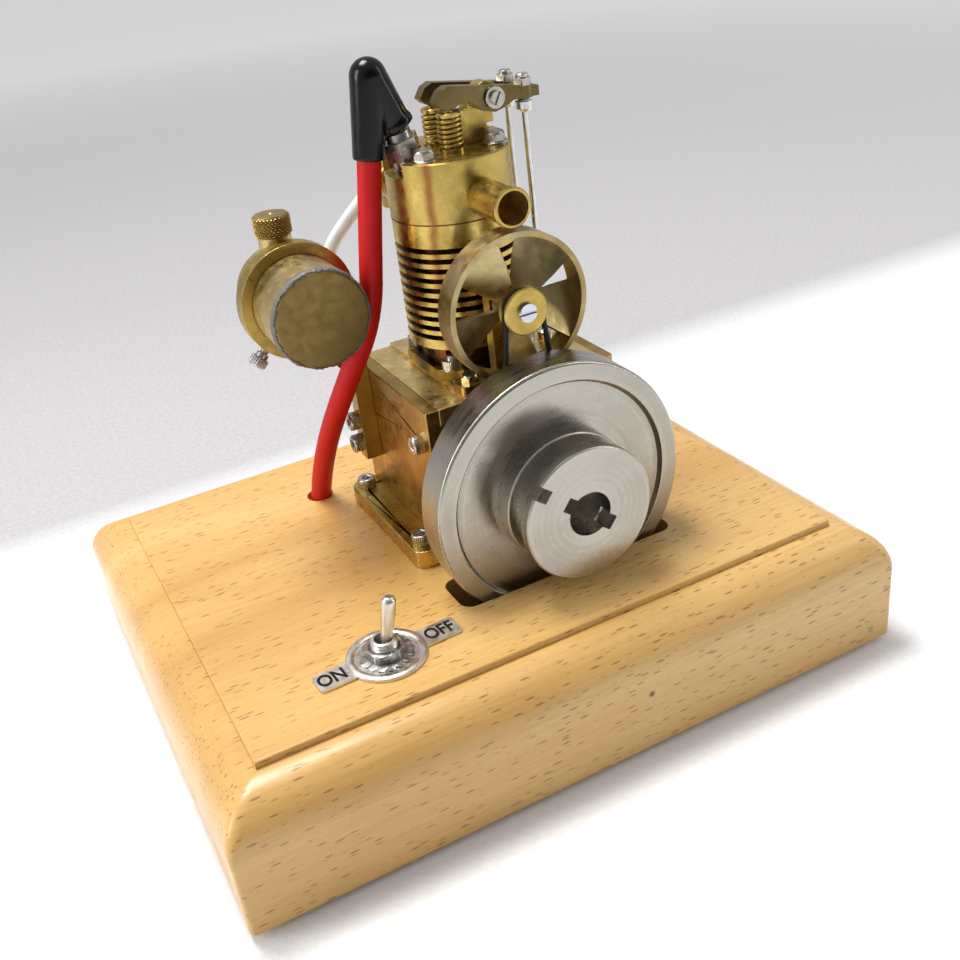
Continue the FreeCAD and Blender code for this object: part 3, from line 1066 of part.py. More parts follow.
def fan_bracket():
    front = "dims.case_front + dims.bracket_step"
    screw_y = "dims.case_front + dims.foot_screw_back"
    foot = slab("bracket_foot", ("dims.bracket_foot_length", "dims.bracket_foot_width",
                                 "dims.bracket_foot_height"),
                ("dims.crank_x - dims.bracket_foot_length / 2", front, "dims.pad_top"),
                corner="1.2")
    post = block("bracket_post", ("dims.bracket_post_width", "dims.bracket_thickness",
                                  "dims.fan_z - dims.pad_top"),
                 ("dims.crank_x - dims.bracket_post_width / 2", front, "dims.pad_top"))
    eye = rod("bracket_eye", "dims.bracket_post_width / 2", "dims.bracket_thickness",
              ("dims.crank_x", front, "dims.fan_z"), TO_BACK)
    bore = rod("bracket_bore", "dims.fan_axle_radius + dims.running_clearance", "dims.through",
               ("dims.crank_x", "dims.case_front - 5", "dims.fan_z"), TO_BACK)
    holes = [rod("bracket_hole_%d" % i, "dims.foot_screw_radius", "9",
                 (x, screw_y, "dims.pad_top - 1"))
             for i, x in enumerate(fan_foot_screws())]
    screws = [hex_bolt("bracket_screw_%d" % i, "dims.foot_screw_flats", "dims.foot_screw_head",
                       "dims.foot_screw_radius", "dims.bracket_foot_height + 3",
                       (x, screw_y, "dims.pad_top + dims.bracket_foot_height"))
              for i, x in enumerate(fan_foot_screws())]
    node("fan_bracket", cut("bracket_made", fuse("bracket_whole", foot, post, eye), bore, *holes))
    node("fan_bracket_screws", fuse("bracket_screws_made", *screws))


def fan_belt():
    """Round belt: two straight runs and two arcs round the pulleys."""
    small = size("dims.fan_belt_run")
    large = size("dims.drive_belt_run")
    low = size("dims.crank_z")
    high = size("dims.fan_z")
    x = size("dims.crank_x")
    y = size("dims.belt_plane")
    tilt = math.asin((large - small) / (high - low))

    def rim(centre, radius, angle):
        return V(x + radius * math.cos(angle), y, centre + radius * math.sin(angle))

    top_right, top_left = rim(high, small, tilt), rim(high, small, math.pi - tilt)
    low_right, low_left = rim(low, large, tilt), rim(low, large, math.pi - tilt)
    edges = [Part.LineSegment(low_right, top_right).toShape(),
             Part.Arc(top_right, rim(high, small, math.pi / 2), top_left).toShape(),
             Part.LineSegment(top_left, low_left).toShape(),
             Part.Arc(low_left, rim(low, large, -math.pi / 2), low_right).toShape()]
    ring = Part.Wire(Part.makeCircle(size("dims.belt_radius"), low_right, top_right - low_right))
    node("fan_belt", made("belt_made", Part.Wire(edges).makePipeShell([ring], True, False)))


# ---------------------------------------------------------------- fuel system
def fuel_tank():
    centre = ("dims.tank_x", "dims.tank_z")
    run = "(dims.tank_back - dims.tank_front - dims.lid_thickness)"
    front = "dims.tank_front + dims.lid_thickness"
    outline = [("dims.tank_radius - dims.tank_wall", "0"), ("dims.tank_radius - 0.2", "0"),
               ("dims.tank_radius", "0.2"), ("dims.tank_radius", run + " - 0.8"),
               ("dims.tank_radius - 0.8", run), ("0", run), ("0", run + " - dims.tank_wall"),
               ("dims.tank_radius - dims.tank_wall", run + " - dims.tank_wall")]
    drum = turned("drum_blank", outline, (centre[0], front, centre[1]), TO_BACK)
    neck_low = "dims.tank_z + dims.tank_radius - dims.neck_sink"
    neck = rod("neck_blank", "dims.neck_radius", "dims.neck_top - (%s)" % neck_low,
               ("dims.neck_x", "dims.neck_y", neck_low))
    neck_bore = rod("neck_bore", "dims.cap_plug_radius + dims.running_clearance", "10",
                    ("dims.neck_x", "dims.neck_y", "dims.tank_z + dims.tank_radius - 4"))
    outlet = nipple("outlet_blank", HOSE_ROUTE[0], HOSE_ROUTE[0] - HOSE_ROUTE[1],
                    size("dims.tank_nipple"))
    node("fuel_tank", cut("tank_made", fuse("tank_whole", drum, neck, outlet), neck_bore))
    node("tank_lid", turned("lid_made", [
        ("0", "0"), ("dims.lid_radius - dims.edge_break", "0"), ("dims.lid_radius", "dims.edge_break"),
        ("dims.lid_radius", "dims.lid_thickness"), ("0", "dims.lid_thickness")],
        (centre[0], "dims.tank_front", centre[1]), TO_BACK))
    cap = turned("filler_cap_made", [
        ("0", "-dims.cap_plug_length"), ("dims.cap_plug_radius", "-dims.cap_plug_length"),
        ("dims.cap_plug_radius", "0.05"),
        ("dims.cap_radius - 0.5", "0.05"), ("dims.cap_radius", "0.5"),
        ("dims.cap_radius", "dims.cap_height - 0.4"), ("dims.cap_radius - 0.4", "dims.cap_height"),
        ("0", "dims.cap_height")], ("dims.neck_x", "dims.neck_y", "dims.neck_top"))
    node("filler_cap", cap)


def tank_bracket():
    """Clamp ring and arm cut from one plate, its clamp screw and the two arm screws."""
    centre = V(size("dims.tank_x"), size("dims.ring_front"), size("dims.tank_z"))
    ring_radius = size("dims.ring_radius")
    width = size("dims.ring_width")
    right = size("dims.case_left")
    left = right - size("dims.arm_width")
    low = size("dims.arm_bottom")
    root = math.radians(size("dims.arm_root_angle"))
    leave = centre + V(ring_radius * math.cos(root), 0, ring_radius * math.sin(root))
    join_z = centre.z - math.sqrt(ring_radius ** 2 - (right - centre.x) ** 2)
    start = V(left, centre.y, low + size("dims.arm_height"))
    bend = V(left - size("dims.arm_bend"), centre.y, leave.z - size("dims.arm_drop"))
    edges = [Part.LineSegment(V(left, centre.y, low), V(right, centre.y, low)).toShape(),
             Part.LineSegment(V(right, centre.y, low), V(right, centre.y, join_z)).toShape(),
             Part.LineSegment(V(right, centre.y, join_z), centre).toShape(),
             Part.LineSegment(centre, leave).toShape(),
             Part.Arc(leave, bend, start).toShape(),
             Part.LineSegment(start, V(left, centre.y, low)).toShape()]
    arm = Part.Face(Part.Wire(edges)).extrude(V(0, width, 0))
    ring = Part.makeCylinder(ring_radius, width, centre, V(0, 1, 0))
    bore = Part.makeCylinder(size("dims.tank_radius"), width + 2, centre - V(0, 1, 0), V(0, 1, 0))
    plate = made("ring_and_arm", ring.fuse(arm).cut(bore).removeSplitter())
    holes = [rod("arm_hole_%d" % i, "dims.screw_radius", "dims.through", at, TO_RIGHT)
             for i, at in enumerate(arm_hole_starts())]
    clamp_turn = FreeCAD.Rotation(V(0, 0, 1), V(-1, 0, -1))
    middle = ("dims.tank_x", "dims.ring_front + dims.ring_width / 2", "dims.tank_z")
    holes.append(rod("clamp_hole", "dims.clamp_radius + dims.running_clearance",
                     "dims.through", middle, clamp_turn))
    node("tank_bracket", cut("tank_bracket_made", plate, *holes))
    screws = [socket_screw("arm_screw%d" % i, at, TO_LEFT, "dims.arm_screw_run")
              for i, at in enumerate(side_screw_places()[1:])]
    node("bracket_screws", fuse("arm_screws_made", *screws))
    reach = "dims.ring_radius"
    shank = "dims.clamp_radius"
    knob = "dims.clamp_head_radius"
    node("clamp_screw", turned("clamp_screw_made", [
        ("0", "dims.tank_radius + 0.1"), (shank, "dims.tank_radius + 0.1"), (shank, reach + " + 1"),
        ("1.5", reach + " + 1"), ("1.5", reach + " + 2"), (knob, reach + " + 2.2"),
        (knob, reach + " + 4"), (knob + " - 0.3", reach + " + 4.3"), ("0", reach + " + 4.3")],
        middle, clamp_turn))


def arm_hole_starts():
    return [["dims.case_left - 2 * dims.arm_width", at[1], at[2]] for at in side_screw_places()[1:]]


def carburettor():
    """Inlet pipe into the head's back, a lower barrel with its mouth, float bowl, throttle arm."""
    x = "dims.valve_x"
    z = "dims.port_z"
    low_z = "dims.port_z - dims.barrel_drop"
    bowl_y = "dims.bowl_y"
    bowl_low = "dims.port_z - dims.bowl_below_port"
    start = "dims.inlet_pipe_root"
    link_y = "dims.barrel_front + dims.throat_radius / 2"
    pipe = rod("inlet_pipe", "dims.pipe_radius", "dims.inlet_pipe_length", (x, start, z), TO_BACK)
    barrel = rod("carb_barrel", "dims.barrel_radius", "dims.barrel_length",
                 (x, "dims.barrel_front", low_z), TO_BACK)
    flange = rod("carb_mouth", "dims.mouth_radius", "dims.mouth_length",
                 (x, "dims.mouth_front", low_z), TO_BACK)
    bowl = rod("carb_bowl", "dims.bowl_radius", "dims.bowl_height", (x, bowl_y, bowl_low))
    lid = rod("carb_lid", "dims.bowl_lid_radius", "dims.bowl_lid_height",
              (x, bowl_y, bowl_low + " + dims.bowl_height - dims.bowl_lid_height"))
    inlet = nipple("carb_nipple", HOSE_ROUTE[-1], HOSE_ROUTE[-1] - HOSE_ROUTE[-2],
                   size("dims.carburettor_nipple"))
    pipe_bore = rod("inlet_pipe_bore", "dims.throat_radius",
                    "dims.barrel_front + 1.5 * dims.throat_radius - (%s) + 0.5" % start,
                    (x, start + " - 0.5", z), TO_BACK)
    link = rod("throat_link", "dims.throat_radius / 2", "dims.barrel_drop", (x, link_y, low_z))
    throat = rod("carb_throat", "dims.throat_radius", "dims.through",
                 (x, "dims.barrel_front + 1", low_z), TO_BACK)
    horn = cone("carb_horn", "dims.throat_radius", "dims.horn_radius", "dims.horn_length",
                (x, "dims.mouth_front + dims.mouth_length + 0.1 - dims.horn_length", low_z), TO_BACK)
    spindle_hole = rod("spindle_hole", "dims.spindle_radius + dims.running_clearance",
                       "dims.through", (x, bowl_y, z + " + dims.spindle_above_port - 0.2"))
    node("carburettor", cut("carb_made", fuse("carb_whole", pipe, barrel, flange, bowl, lid, inlet),
                            pipe_bore, link, throat, horn, spindle_hole))
    arm_z = z + " + dims.throttle_above_port"
    half = "dims.throttle_width / 2"
    thickness = "dims.throttle_thickness"
    spindle = rod("throttle_spindle", "dims.spindle_radius", "dims.spindle_length",
                  (x, bowl_y, z + " + dims.spindle_above_port"))
    arm = block("throttle_plate", ("dims.throttle_length", "dims.throttle_width", thickness),
                (x + " - " + half, bowl_y + " - " + half, arm_z))
    tip = rod("throttle_tip", half, thickness,
              (x + " - " + half + " + dims.throttle_length", bowl_y, arm_z))
    hub = rod("throttle_hub", "dims.throttle_hub_radius", thickness + " + 0.3",
              (x, bowl_y, arm_z + " - 0.1"))
    node("throttle_lever", fuse("throttle_made", spindle, arm, tip, hub))


# ---------------------------------------------------------------- toggle switch
def toggle_switch():
    centre = ("dims.switch_x", "dims.switch_y")
    underside = "dims.deck_top - dims.switch_wood"
    case = block("switch_case", ("dims.switch_body_length", "dims.switch_body_width",
                                 "dims.switch_body_height"),
                 ("dims.switch_x - dims.switch_body_length / 2",
                  "dims.switch_y - dims.switch_body_width / 2",
                  underside + " - dims.switch_body_height"))
    bushing = rod("switch_bushing", "dims.bushing_radius", "dims.switch_wood + dims.bushing_top + 0.5",
                  centre + (underside + " - 0.5",))
    bore = rod("switch_bore", "dims.bushing_bore", "dims.through", centre + ("dims.deck_top - 1.6",))
    node("switch_body", cut("switch_made", fuse("switch_whole", case, bushing), bore))
    turn = FreeCAD.Rotation(V(0, 0, 1), size("dims.switch_turn"))
    length = size("dims.switch_tab_length")
    width = size("dims.switch_tab_width")
    thick = size("dims.switch_plate_thickness")
    tab = Part.makeBox(length, width, thick, V(-length / 2 + 0.4, -width / 2, 0))
    ends = [e for e in tab.Edges if e.BoundBox.ZLength > 0.9 * thick]
    plate = tab.makeFillet(0.9, ends).fuse(Part.makeCylinder(size("dims.switch_disc"), thick))
    plate = plate.cut(Part.makeCylinder(size("dims.bushing_radius"), 5, V(0, 0, -1)))
    node("switch_plate", settle(made("switch_plate_made", plate.removeSplitter()),
                                centre + ("dims.deck_top",), turn))
    washer_z = "dims.deck_top + dims.switch_plate_thickness"
    washer = rod("washer_blank", "dims.washer_radius", "dims.washer_height + 0.1", centre + (washer_z,))
    nut = hexagon("switch_nut_hex", "dims.switch_nut_flats", "dims.switch_nut_height",
                  centre + (washer_z + " + dims.washer_height",))
    hole = rod("nut_hole", "dims.bushing_radius", "dims.through", centre + ("dims.deck_top - 5",))
    node("switch_nut", cut("switch_nut_made", fuse("nut_whole", washer, nut), hole))
    lean = FreeCAD.Rotation(V(0, 1, 0), size("dims.lever_lean"))
    pivot_z = "dims.deck_top + dims.lever_pivot_above_deck"
    pivot = centre + (pivot_z,)
    stick = turned("lever_stick", [
        ("0", "0"), ("dims.lever_root_radius", "0"), ("dims.lever_root_radius", "dims.lever_neck_length"),
        ("dims.lever_tip_radius", "dims.lever_length - 2.5"),
        ("dims.lever_tip_radius", "dims.lever_length - 0.6"),
        ("dims.lever_tip_radius - 0.6", "dims.lever_length"), ("0", "dims.lever_length")],
        pivot, lean)
    pin = rod("lever_pin", "dims.lever_pin_radius", "dims.lever_pin_length",
              ("dims.switch_x", "dims.switch_y - dims.lever_pin_length / 2", pivot_z), TO_BACK)
    node("switch_lever",
         fuse("lever_made", stick, ball("lever_ball_blank", "dims.lever_ball", pivot), pin))


# ---------------------------------------------------------------- whole engine
def build():
    wooden_base()
    base_underside()
    engine_plate()
    crankcase()
    cylinder()
    cylinder_head()
    exhaust_pipe()
    spark_plug()
    spark_plug_boot()
    cords()
    for name, y in (("exhaust", "dims.front_valve_y"), ("inlet", "dims.back_valve_y")):
        valve(name + "_valve", y)
        valve_spring(name + "_spring", y)
        rocker(name + "_rocker", y)
        pushrod(name + "_pushrod", y)
    rocker_stand()
    flywheel()
    starter_hub()
    crankshaft()
    camshaft()
    piston_and_rod()
    fan()
    fan_bracket()
    fan_belt()
    fuel_tank()
    tank_bracket()
    carburettor()
    toggle_switch()


def check():
    doc.recompute()
    failed = [o.Name for o in doc.Objects if "Invalid" in o.State or "Error" in o.State]
    if failed:
        raise RuntimeError("objects did not build: " + ", ".join(failed))
    for name, thing in nodes.items():
        if thing.Shape.isNull() or not thing.Shape.isValid() or not thing.Shape.Solids:
            raise RuntimeError("no valid solid in " + name)
        print("%-20s solids %d volume %9.1f" % (name, len(thing.Shape.Solids), thing.Shape.Volume))


build()
check()
os.makedirs("parts", exist_ok=True)
for name, thing in nodes.items():
    thing.Shape.exportStep("parts/%s.step" % name)
print(len(nodes), "sub-parts written")
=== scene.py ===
"""Looks of a model four-stroke petrol engine on a beech base.

Metres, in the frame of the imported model: +Z up, +X along the base, the crankshaft along Y.
Every piece is made where it stands, so its object coordinates are the frame's own.
"""

import json
import math

import bpy
from mathutils import Matrix, Vector, noise


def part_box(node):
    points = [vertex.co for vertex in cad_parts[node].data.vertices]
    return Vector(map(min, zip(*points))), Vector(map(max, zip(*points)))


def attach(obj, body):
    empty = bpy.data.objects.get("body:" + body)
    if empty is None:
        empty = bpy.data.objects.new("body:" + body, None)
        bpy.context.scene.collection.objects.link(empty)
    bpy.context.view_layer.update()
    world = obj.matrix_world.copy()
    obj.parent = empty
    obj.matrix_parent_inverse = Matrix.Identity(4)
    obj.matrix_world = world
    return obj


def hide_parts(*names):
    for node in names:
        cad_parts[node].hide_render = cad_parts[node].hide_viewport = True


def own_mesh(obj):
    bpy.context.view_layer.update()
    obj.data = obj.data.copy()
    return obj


MM = 0.001
OVERHEAD = (-0.08, 0.16, 0.70)
OLD_OIL = (0.23, 0.12, 0.035)
PIT = (0.07, 0.035, 0.012)
# Dark brown of the barrel's groove floors: baked oil together with painted shade between the fins.
GROOVE_SHADE_AND_OIL = (0.060, 0.024, 0.010)
OIL_RUN = (0.24, 0.07, 0.025)
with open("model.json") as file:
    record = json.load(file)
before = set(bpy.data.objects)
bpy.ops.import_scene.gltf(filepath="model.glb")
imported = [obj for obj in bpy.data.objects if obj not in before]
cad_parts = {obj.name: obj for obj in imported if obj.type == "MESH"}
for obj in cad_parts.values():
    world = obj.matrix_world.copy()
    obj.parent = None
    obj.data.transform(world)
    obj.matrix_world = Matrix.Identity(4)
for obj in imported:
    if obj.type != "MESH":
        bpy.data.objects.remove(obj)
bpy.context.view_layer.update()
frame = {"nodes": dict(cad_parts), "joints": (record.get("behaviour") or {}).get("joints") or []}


def joint_place(child):
    """Place of the joint that moves a body, in metres."""
    return Vector(next(joint for joint in frame["joints"] if joint["child"] == child)["pos_m"])


# ---------------------------------------------------------------- camera, light, floor
def make_camera():
    data = bpy.data.cameras.new("camera")
    data.lens = 42.49
    data.clip_start = 0.01
    camera = bpy.data.objects.new("camera", data)
    camera.location = Vector((-89.95, -221.51, 174.55)) * MM
    camera.rotation_euler = [math.radians(angle) for angle in (60.73, 6.55, -27.58)]
    bpy.context.scene.collection.objects.link(camera)
    bpy.context.scene.camera = camera


def softbox(name, place, aim, width, height, power, colour=(1, 1, 1)):
    data = bpy.data.lights.new(name, "AREA")
    data.shape = "RECTANGLE"
    data.size = width
    data.size_y = height
    data.energy = power
    data.color = colour
    lamp = bpy.data.objects.new(name, data)
    lamp.location = place
    lamp.rotation_euler = (Vector(aim) - Vector(place)).to_track_quat("-Z", "Y").to_euler()
    bpy.context.scene.collection.objects.link(lamp)


def make_light():
    """A bright room: a box overhead, a window at the left, a strip at the right, a dim front."""
    engine = (0.0, 0.0, 0.06)
    softbox("overhead", OVERHEAD, engine, 0.28, 0.24, 4.6, (1.0, 0.975, 0.945))
    softbox("left_window", (-0.70, 0.10, 0.38), engine, 0.25, 0.50, 2.5, (0.96, 0.98, 1.0))
    softbox("right_strip", (0.60, -0.30, 0.35), engine, 0.08, 0.60, 0.7, (1.0, 0.99, 0.97))
    world = bpy.data.worlds.new("room")
    world.use_nodes = True
    tree = world.node_tree
    place = tree.nodes.new("ShaderNodeTexCoord")
    split = tree.nodes.new("ShaderNodeSeparateXYZ")
    tree.links.new(place.outputs["Generated"], split.inputs[0])
    front = tree.nodes.new("ShaderNodeMapRange")
    front.interpolation_type = "SMOOTHSTEP"
    dim, bright = 0.10, 0.50
    for socket, value in ((1, -0.95), (2, -0.35), (3, dim), (4, bright)):
        front.inputs[socket].default_value = value
    tree.links.new(split.outputs["Y"], front.inputs[0])
    background = tree.nodes["Background"]
    background.inputs["Color"].default_value = (0.97, 0.98, 1.0, 1)
    tree.links.new(front.outputs[0], background.inputs["Strength"])
    bpy.context.scene.world = world
    bpy.context.scene.view_settings.view_transform = "Standard"


def make_floor():
    """Flat pale sheet, white round the base and painted greyer at the back as the shade of a backdrop,
    with a painted emission that grows with distance from the overhead box to stand in for its light
    falling off.
    """
    reach = 5.0
    places = [(-reach, -reach, 0), (reach, -reach, 0), (reach, reach, 0), (-reach, reach, 0)]
    mesh = bpy.data.meshes.new("floor")
    mesh.from_pydata(places, [], [(0, 1, 2, 3)])
    floor = bpy.data.objects.new("floor", mesh)
    bpy.context.scene.collection.objects.link(floor)
    finish = Finish("pale_sheet", Roughness=0.75)
    grain = finish.noise(1.6, detail=3)
    white = finish.ramp(grain, (0.35, (0.90, 0.92, 0.94)), (0.65, (0.95, 0.965, 0.985)))
    # Painted shade: a greyer copy of the sheet, laid at the back where a shaded backdrop would stand.
    backdrop_shade = finish.ramp(grain, (0.35, (0.47, 0.462, 0.475)), (0.65, (0.53, 0.52, 0.535)))
    shade_from, shade_to = 98, 130
    backdrop_shade_mask = finish.level(finish.axes["Y"], shade_from, shade_to)
    finish.colour(finish.blend(backdrop_shade_mask, white, backdrop_shade))
    finish.bump(grain, 0.22)
    # Painted light: the sheet emits more the farther it lies from the overhead box, making up for the
    # light that falls off there.
    near, far, painted_glow = 180, 1100, 0.40
    painted_glow_strength = finish.level(finish.distance(OVERHEAD, "XY"), near, far, 0.0, painted_glow)
    finish.links.new(painted_glow_strength, finish.shader.inputs["Emission Strength"])
    finish.shader.inputs["Emission Color"].default_value = (1.0, 0.985, 0.99, 1)
    mesh.materials.append(finish.material)


# ---------------------------------------------------------------- node materials
class Finish:
    """A node material whose coordinates are the frame's, in millimetres."""

    def __init__(self, name, **sockets):
        self.material = bpy.data.materials.new(name)
        self.material.use_nodes = True
        self.nodes = self.material.node_tree.nodes
        self.links = self.material.node_tree.links
        self.shader = self.nodes["Principled BSDF"]
        for socket, value in sockets.items():
            self.shader.inputs[socket.replace("_", " ")].default_value = value
        where = self.add("TexCoord").outputs["Object"]
        self.place = self.times(where, (1 / MM,) * 3)
        self.axes = self.add("SeparateXYZ", {0: self.place}).outputs

    def add(self, kind, inputs=None, **settings):
        made = self.nodes.new("ShaderNode" + kind)
        for key, value in settings.items():
            setattr(made, key, value)
        for key, value in (inputs or {}).items():
            if isinstance(value, bpy.types.NodeSocket):
                self.links.new(value, made.inputs[key])
            else:
                made.inputs[key].default_value = value
        return made

    def times(self, place, factors):
        return self.add("VectorMath", {0: place, 1: factors}, operation="MULTIPLY").outputs[0]

    def calc(self, operation, *values):
        return self.add("Math", dict(enumerate(values)), operation=operation).outputs[0]

    def noise(self, size, detail=4.0, stretch=(1, 1, 1), roughness=0.5, place=None, twist=0.0):
        """Cloudy 0 to 1 pattern with features of about size millimetres, times the stretch."""
        spot = self.times(place or self.place, [1 / share for share in stretch])
        return self.add("TexNoise", {"Vector": spot, "Scale": 1 / size, "Detail": detail,
                                     "Roughness": roughness, "Distortion": twist}).outputs["Fac"]

    def cells(self, size, stretch=(1, 1, 1)):
        """Distance to scattered points that lie about size millimetres apart."""
        spot = self.times(self.place, [1 / share for share in stretch])
        return self.add("TexVoronoi", {"Vector": spot, "Scale": 1 / size}).outputs["Distance"]

    def level(self, value, low, high, to_low=0.0, to_high=1.0):
        return self.add("MapRange", {0: value, 1: low, 2: high, 3: to_low, 4: to_high}).outputs[0]

    def ramp(self, value, *stops):
        made = self.add("ValToRGB", {0: value})
        marks = made.color_ramp.elements
        while len(marks) < len(stops):
            marks.new(0.5)
        for mark, (spot, tint) in zip(marks, stops):
            mark.position = spot
            mark.color = (*tint, 1)
        return made.outputs["Color"]

    def blend(self, share, first, second, mode="MIX"):
        made = self.add("Mix", data_type="RGBA", blend_type=mode)
        for slot, value in ((0, share), (6, first), (7, second)):
            if isinstance(value, bpy.types.NodeSocket):
                self.links.new(value, made.inputs[slot])
            else:
                made.inputs[slot].default_value = (*value, 1) if slot else value
        return made.outputs[2]

    def colour(self, socket):
        self.links.new(socket, self.shader.inputs["Base Color"])

    def roughness(self, socket):
        self.links.new(socket, self.shader.inputs["Roughness"])

    def bump(self, height, depth, strength=1.0):
        """Relief of the given depth in millimetres, laid over any relief that is there."""
        inputs = {"Height": height, "Distance": depth * MM, "Strength": strength}
        normal = self.shader.inputs["Normal"]
        if normal.is_linked:
            inputs["Normal"] = normal.links[0].from_socket
        self.links.new(self.add("Bump", inputs).outputs[0], normal)

    def distance(self, centre, axes):
        """Distance in millimetres from a line through centre, measured in the two axes named."""
        squares = []
        for axis in axes:
            offset = self.calc("SUBTRACT", self.axes[axis], centre["XYZ".index(axis)] / MM)
            squares.append(self.calc("MULTIPLY", offset, offset))
        return self.calc("SQRT", self.calc("ADD", *squares))


def brass(name, light=(0.64, 0.465, 0.135), deep=(0.46, 0.315, 0.075), stain=0.35, rough=0.27,
          lay=(1, 1, 6)):
    """Machined brass that has aged: warm clouds, brown stains, small pits and fine tool marks."""
    finish = Finish(name, Metallic=1.0)
    clouds = finish.noise(9, detail=3)
    body = finish.ramp(clouds, (0.35, deep), (0.62, light))
    patches = finish.level(finish.noise(7.5, detail=5, roughness=0.55), 0.52, 0.76, 0.0, stain)
    body = finish.blend(patches, body, OLD_OIL)
    pits = finish.level(finish.cells(1.9), 0.085, 0.035, 0.0, min(1.0, stain * 1.8))
    pits = finish.calc("MULTIPLY", pits, finish.level(clouds, 0.45, 0.6))
    body = finish.blend(pits, body, PIT)
    finish.colour(body)
    smear = finish.noise(2.2, detail=5, roughness=0.6)
    finish.roughness(finish.level(smear, 0.3, 0.75, rough - 0.07, rough + 0.2))
    finish.bump(finish.noise(0.22, detail=2, stretch=lay), 0.012, 0.5)
    finish.bump(finish.noise(1.4, detail=3), 0.02, 0.35)
    return finish


def stained(finish, share, tint):
    """Mix one more colour over a finish where share is high."""
    base = finish.shader.inputs["Base Color"].links[0].from_socket
    finish.colour(finish.blend(share, base, tint))
    return finish


def cylinder_brass():
    """Brass of the barrel: its groove floors are painted dark, partly as baked oil and partly as
    painted shade between the fins, and one streak runs down it.
    """
    finish = brass("brass_cylinder", rough=0.24, lay=(6, 6, 1), stain=0.25)
    low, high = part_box("cylinder_head")
    centre = (low + high) / 2
    radius = finish.distance(centre, "XY")
    rim = (high.x - low.x) / 2 / MM
    groove_lip, groove_floor = rim - 0.25, rim - 1.2
    # Painted shade with baked oil: the colour darkens towards the groove floors between the fins.
    stained(finish, finish.level(radius, groove_lip, groove_floor, 0.0, 0.93), GROOVE_SHADE_AND_OIL)
    return streak(finish, centre)


def head_brass():
    """Brass of the head, cleaner than the barrel, with the same streak running off it."""
    low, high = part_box("cylinder_head")
    finish = brass("brass_head", light=(0.53, 0.385, 0.108), deep=(0.45, 0.32, 0.084), stain=0.10,
                   rough=0.25, lay=(6, 6, 1))
    return streak(finish, (low + high) / 2)


def streak(finish, centre):
    """Brown run of old oil down the front of the head, on the flywheel side."""
    left_of_axis, sway, edge, core, strength = 9.6, 1.3, 1.1, 0.2, 0.75
    wander = finish.calc("MULTIPLY", finish.noise(6, detail=2), sway)
    across = finish.calc("SUBTRACT", finish.axes["X"], centre.x / MM - left_of_axis)
    off = finish.calc("ABSOLUTE", finish.calc("ADD", across, finish.calc("SUBTRACT", wander, sway / 2)))
    line = finish.level(off, edge, core, 0.0, strength)
    in_front = finish.level(finish.axes["Y"], centre.y / MM - 4.0, centre.y / MM - 6.0)
    return stained(finish, finish.calc("MULTIPLY", line, in_front), OIL_RUN)


def steel(name, tint=(0.60, 0.58, 0.54), rough=0.24, marks=0.35):
    """Plated or ground steel with smudges, hairline scratches and a few dull spots."""
    finish = Finish(name, Metallic=1.0)
    clouds = finish.noise(3.0, detail=4)
    dark = tuple(0.86 * channel for channel in tint)
    finish.colour(finish.ramp(clouds, (0.30, dark), (0.60, tint)))
    finish.roughness(finish.level(finish.noise(1.6, detail=4), 0.3, 0.75, rough - 0.06, rough + 0.14))
    finish.bump(finish.noise(0.25, detail=3), 0.012, marks)
    return finish


def lathe_metal(name, centre, tint=(0.47, 0.44, 0.385), rough=0.24, mottle=0.6):
    """Bare turned metal: rings round the crank axis, a sheen that sweeps, and dull mottling."""
    finish = Finish(name, Metallic=1.0, Anisotropic=0.74)
    radius = finish.distance(centre, "XZ")
    ring = finish.add("CombineXYZ", {0: radius, 1: finish.axes["Y"]}).outputs[0]
    tool = finish.noise(0.16, detail=2, place=ring)
    wide = finish.noise(1.5, detail=2, place=ring)
    clouds = finish.noise(5.5, detail=5, roughness=0.6)
    specks = finish.noise(0.8, detail=3)
    dull = tuple(channel * (1 - 0.30 * mottle) for channel in tint)
    base = finish.ramp(clouds, (0.30, dull), (0.66, tint))
    spots = finish.level(finish.calc("MULTIPLY", clouds, specks), 0.32, 0.46, 0.0, 0.35 * mottle)
    base = finish.blend(spots, base, (0.30, 0.275, 0.225))
    marks = finish.level(finish.noise(0.9, detail=3, place=ring), 0.42, 0.72, 0.0, 0.16)
    finish.colour(finish.blend(marks, base, (0.34, 0.315, 0.265)))
    both = finish.calc("ADD", wide, clouds)
    finish.roughness(finish.level(both, 0.7, 1.35, rough - 0.05, rough + 0.16))
    finish.bump(tool, 0.006, 0.4)
    finish.bump(specks, 0.006, 0.25 * mottle)
    tangent = finish.add("Tangent", direction_type="RADIAL", axis="Y").outputs[0]
    finish.links.new(tangent, finish.shader.inputs["Tangent"])
    return finish


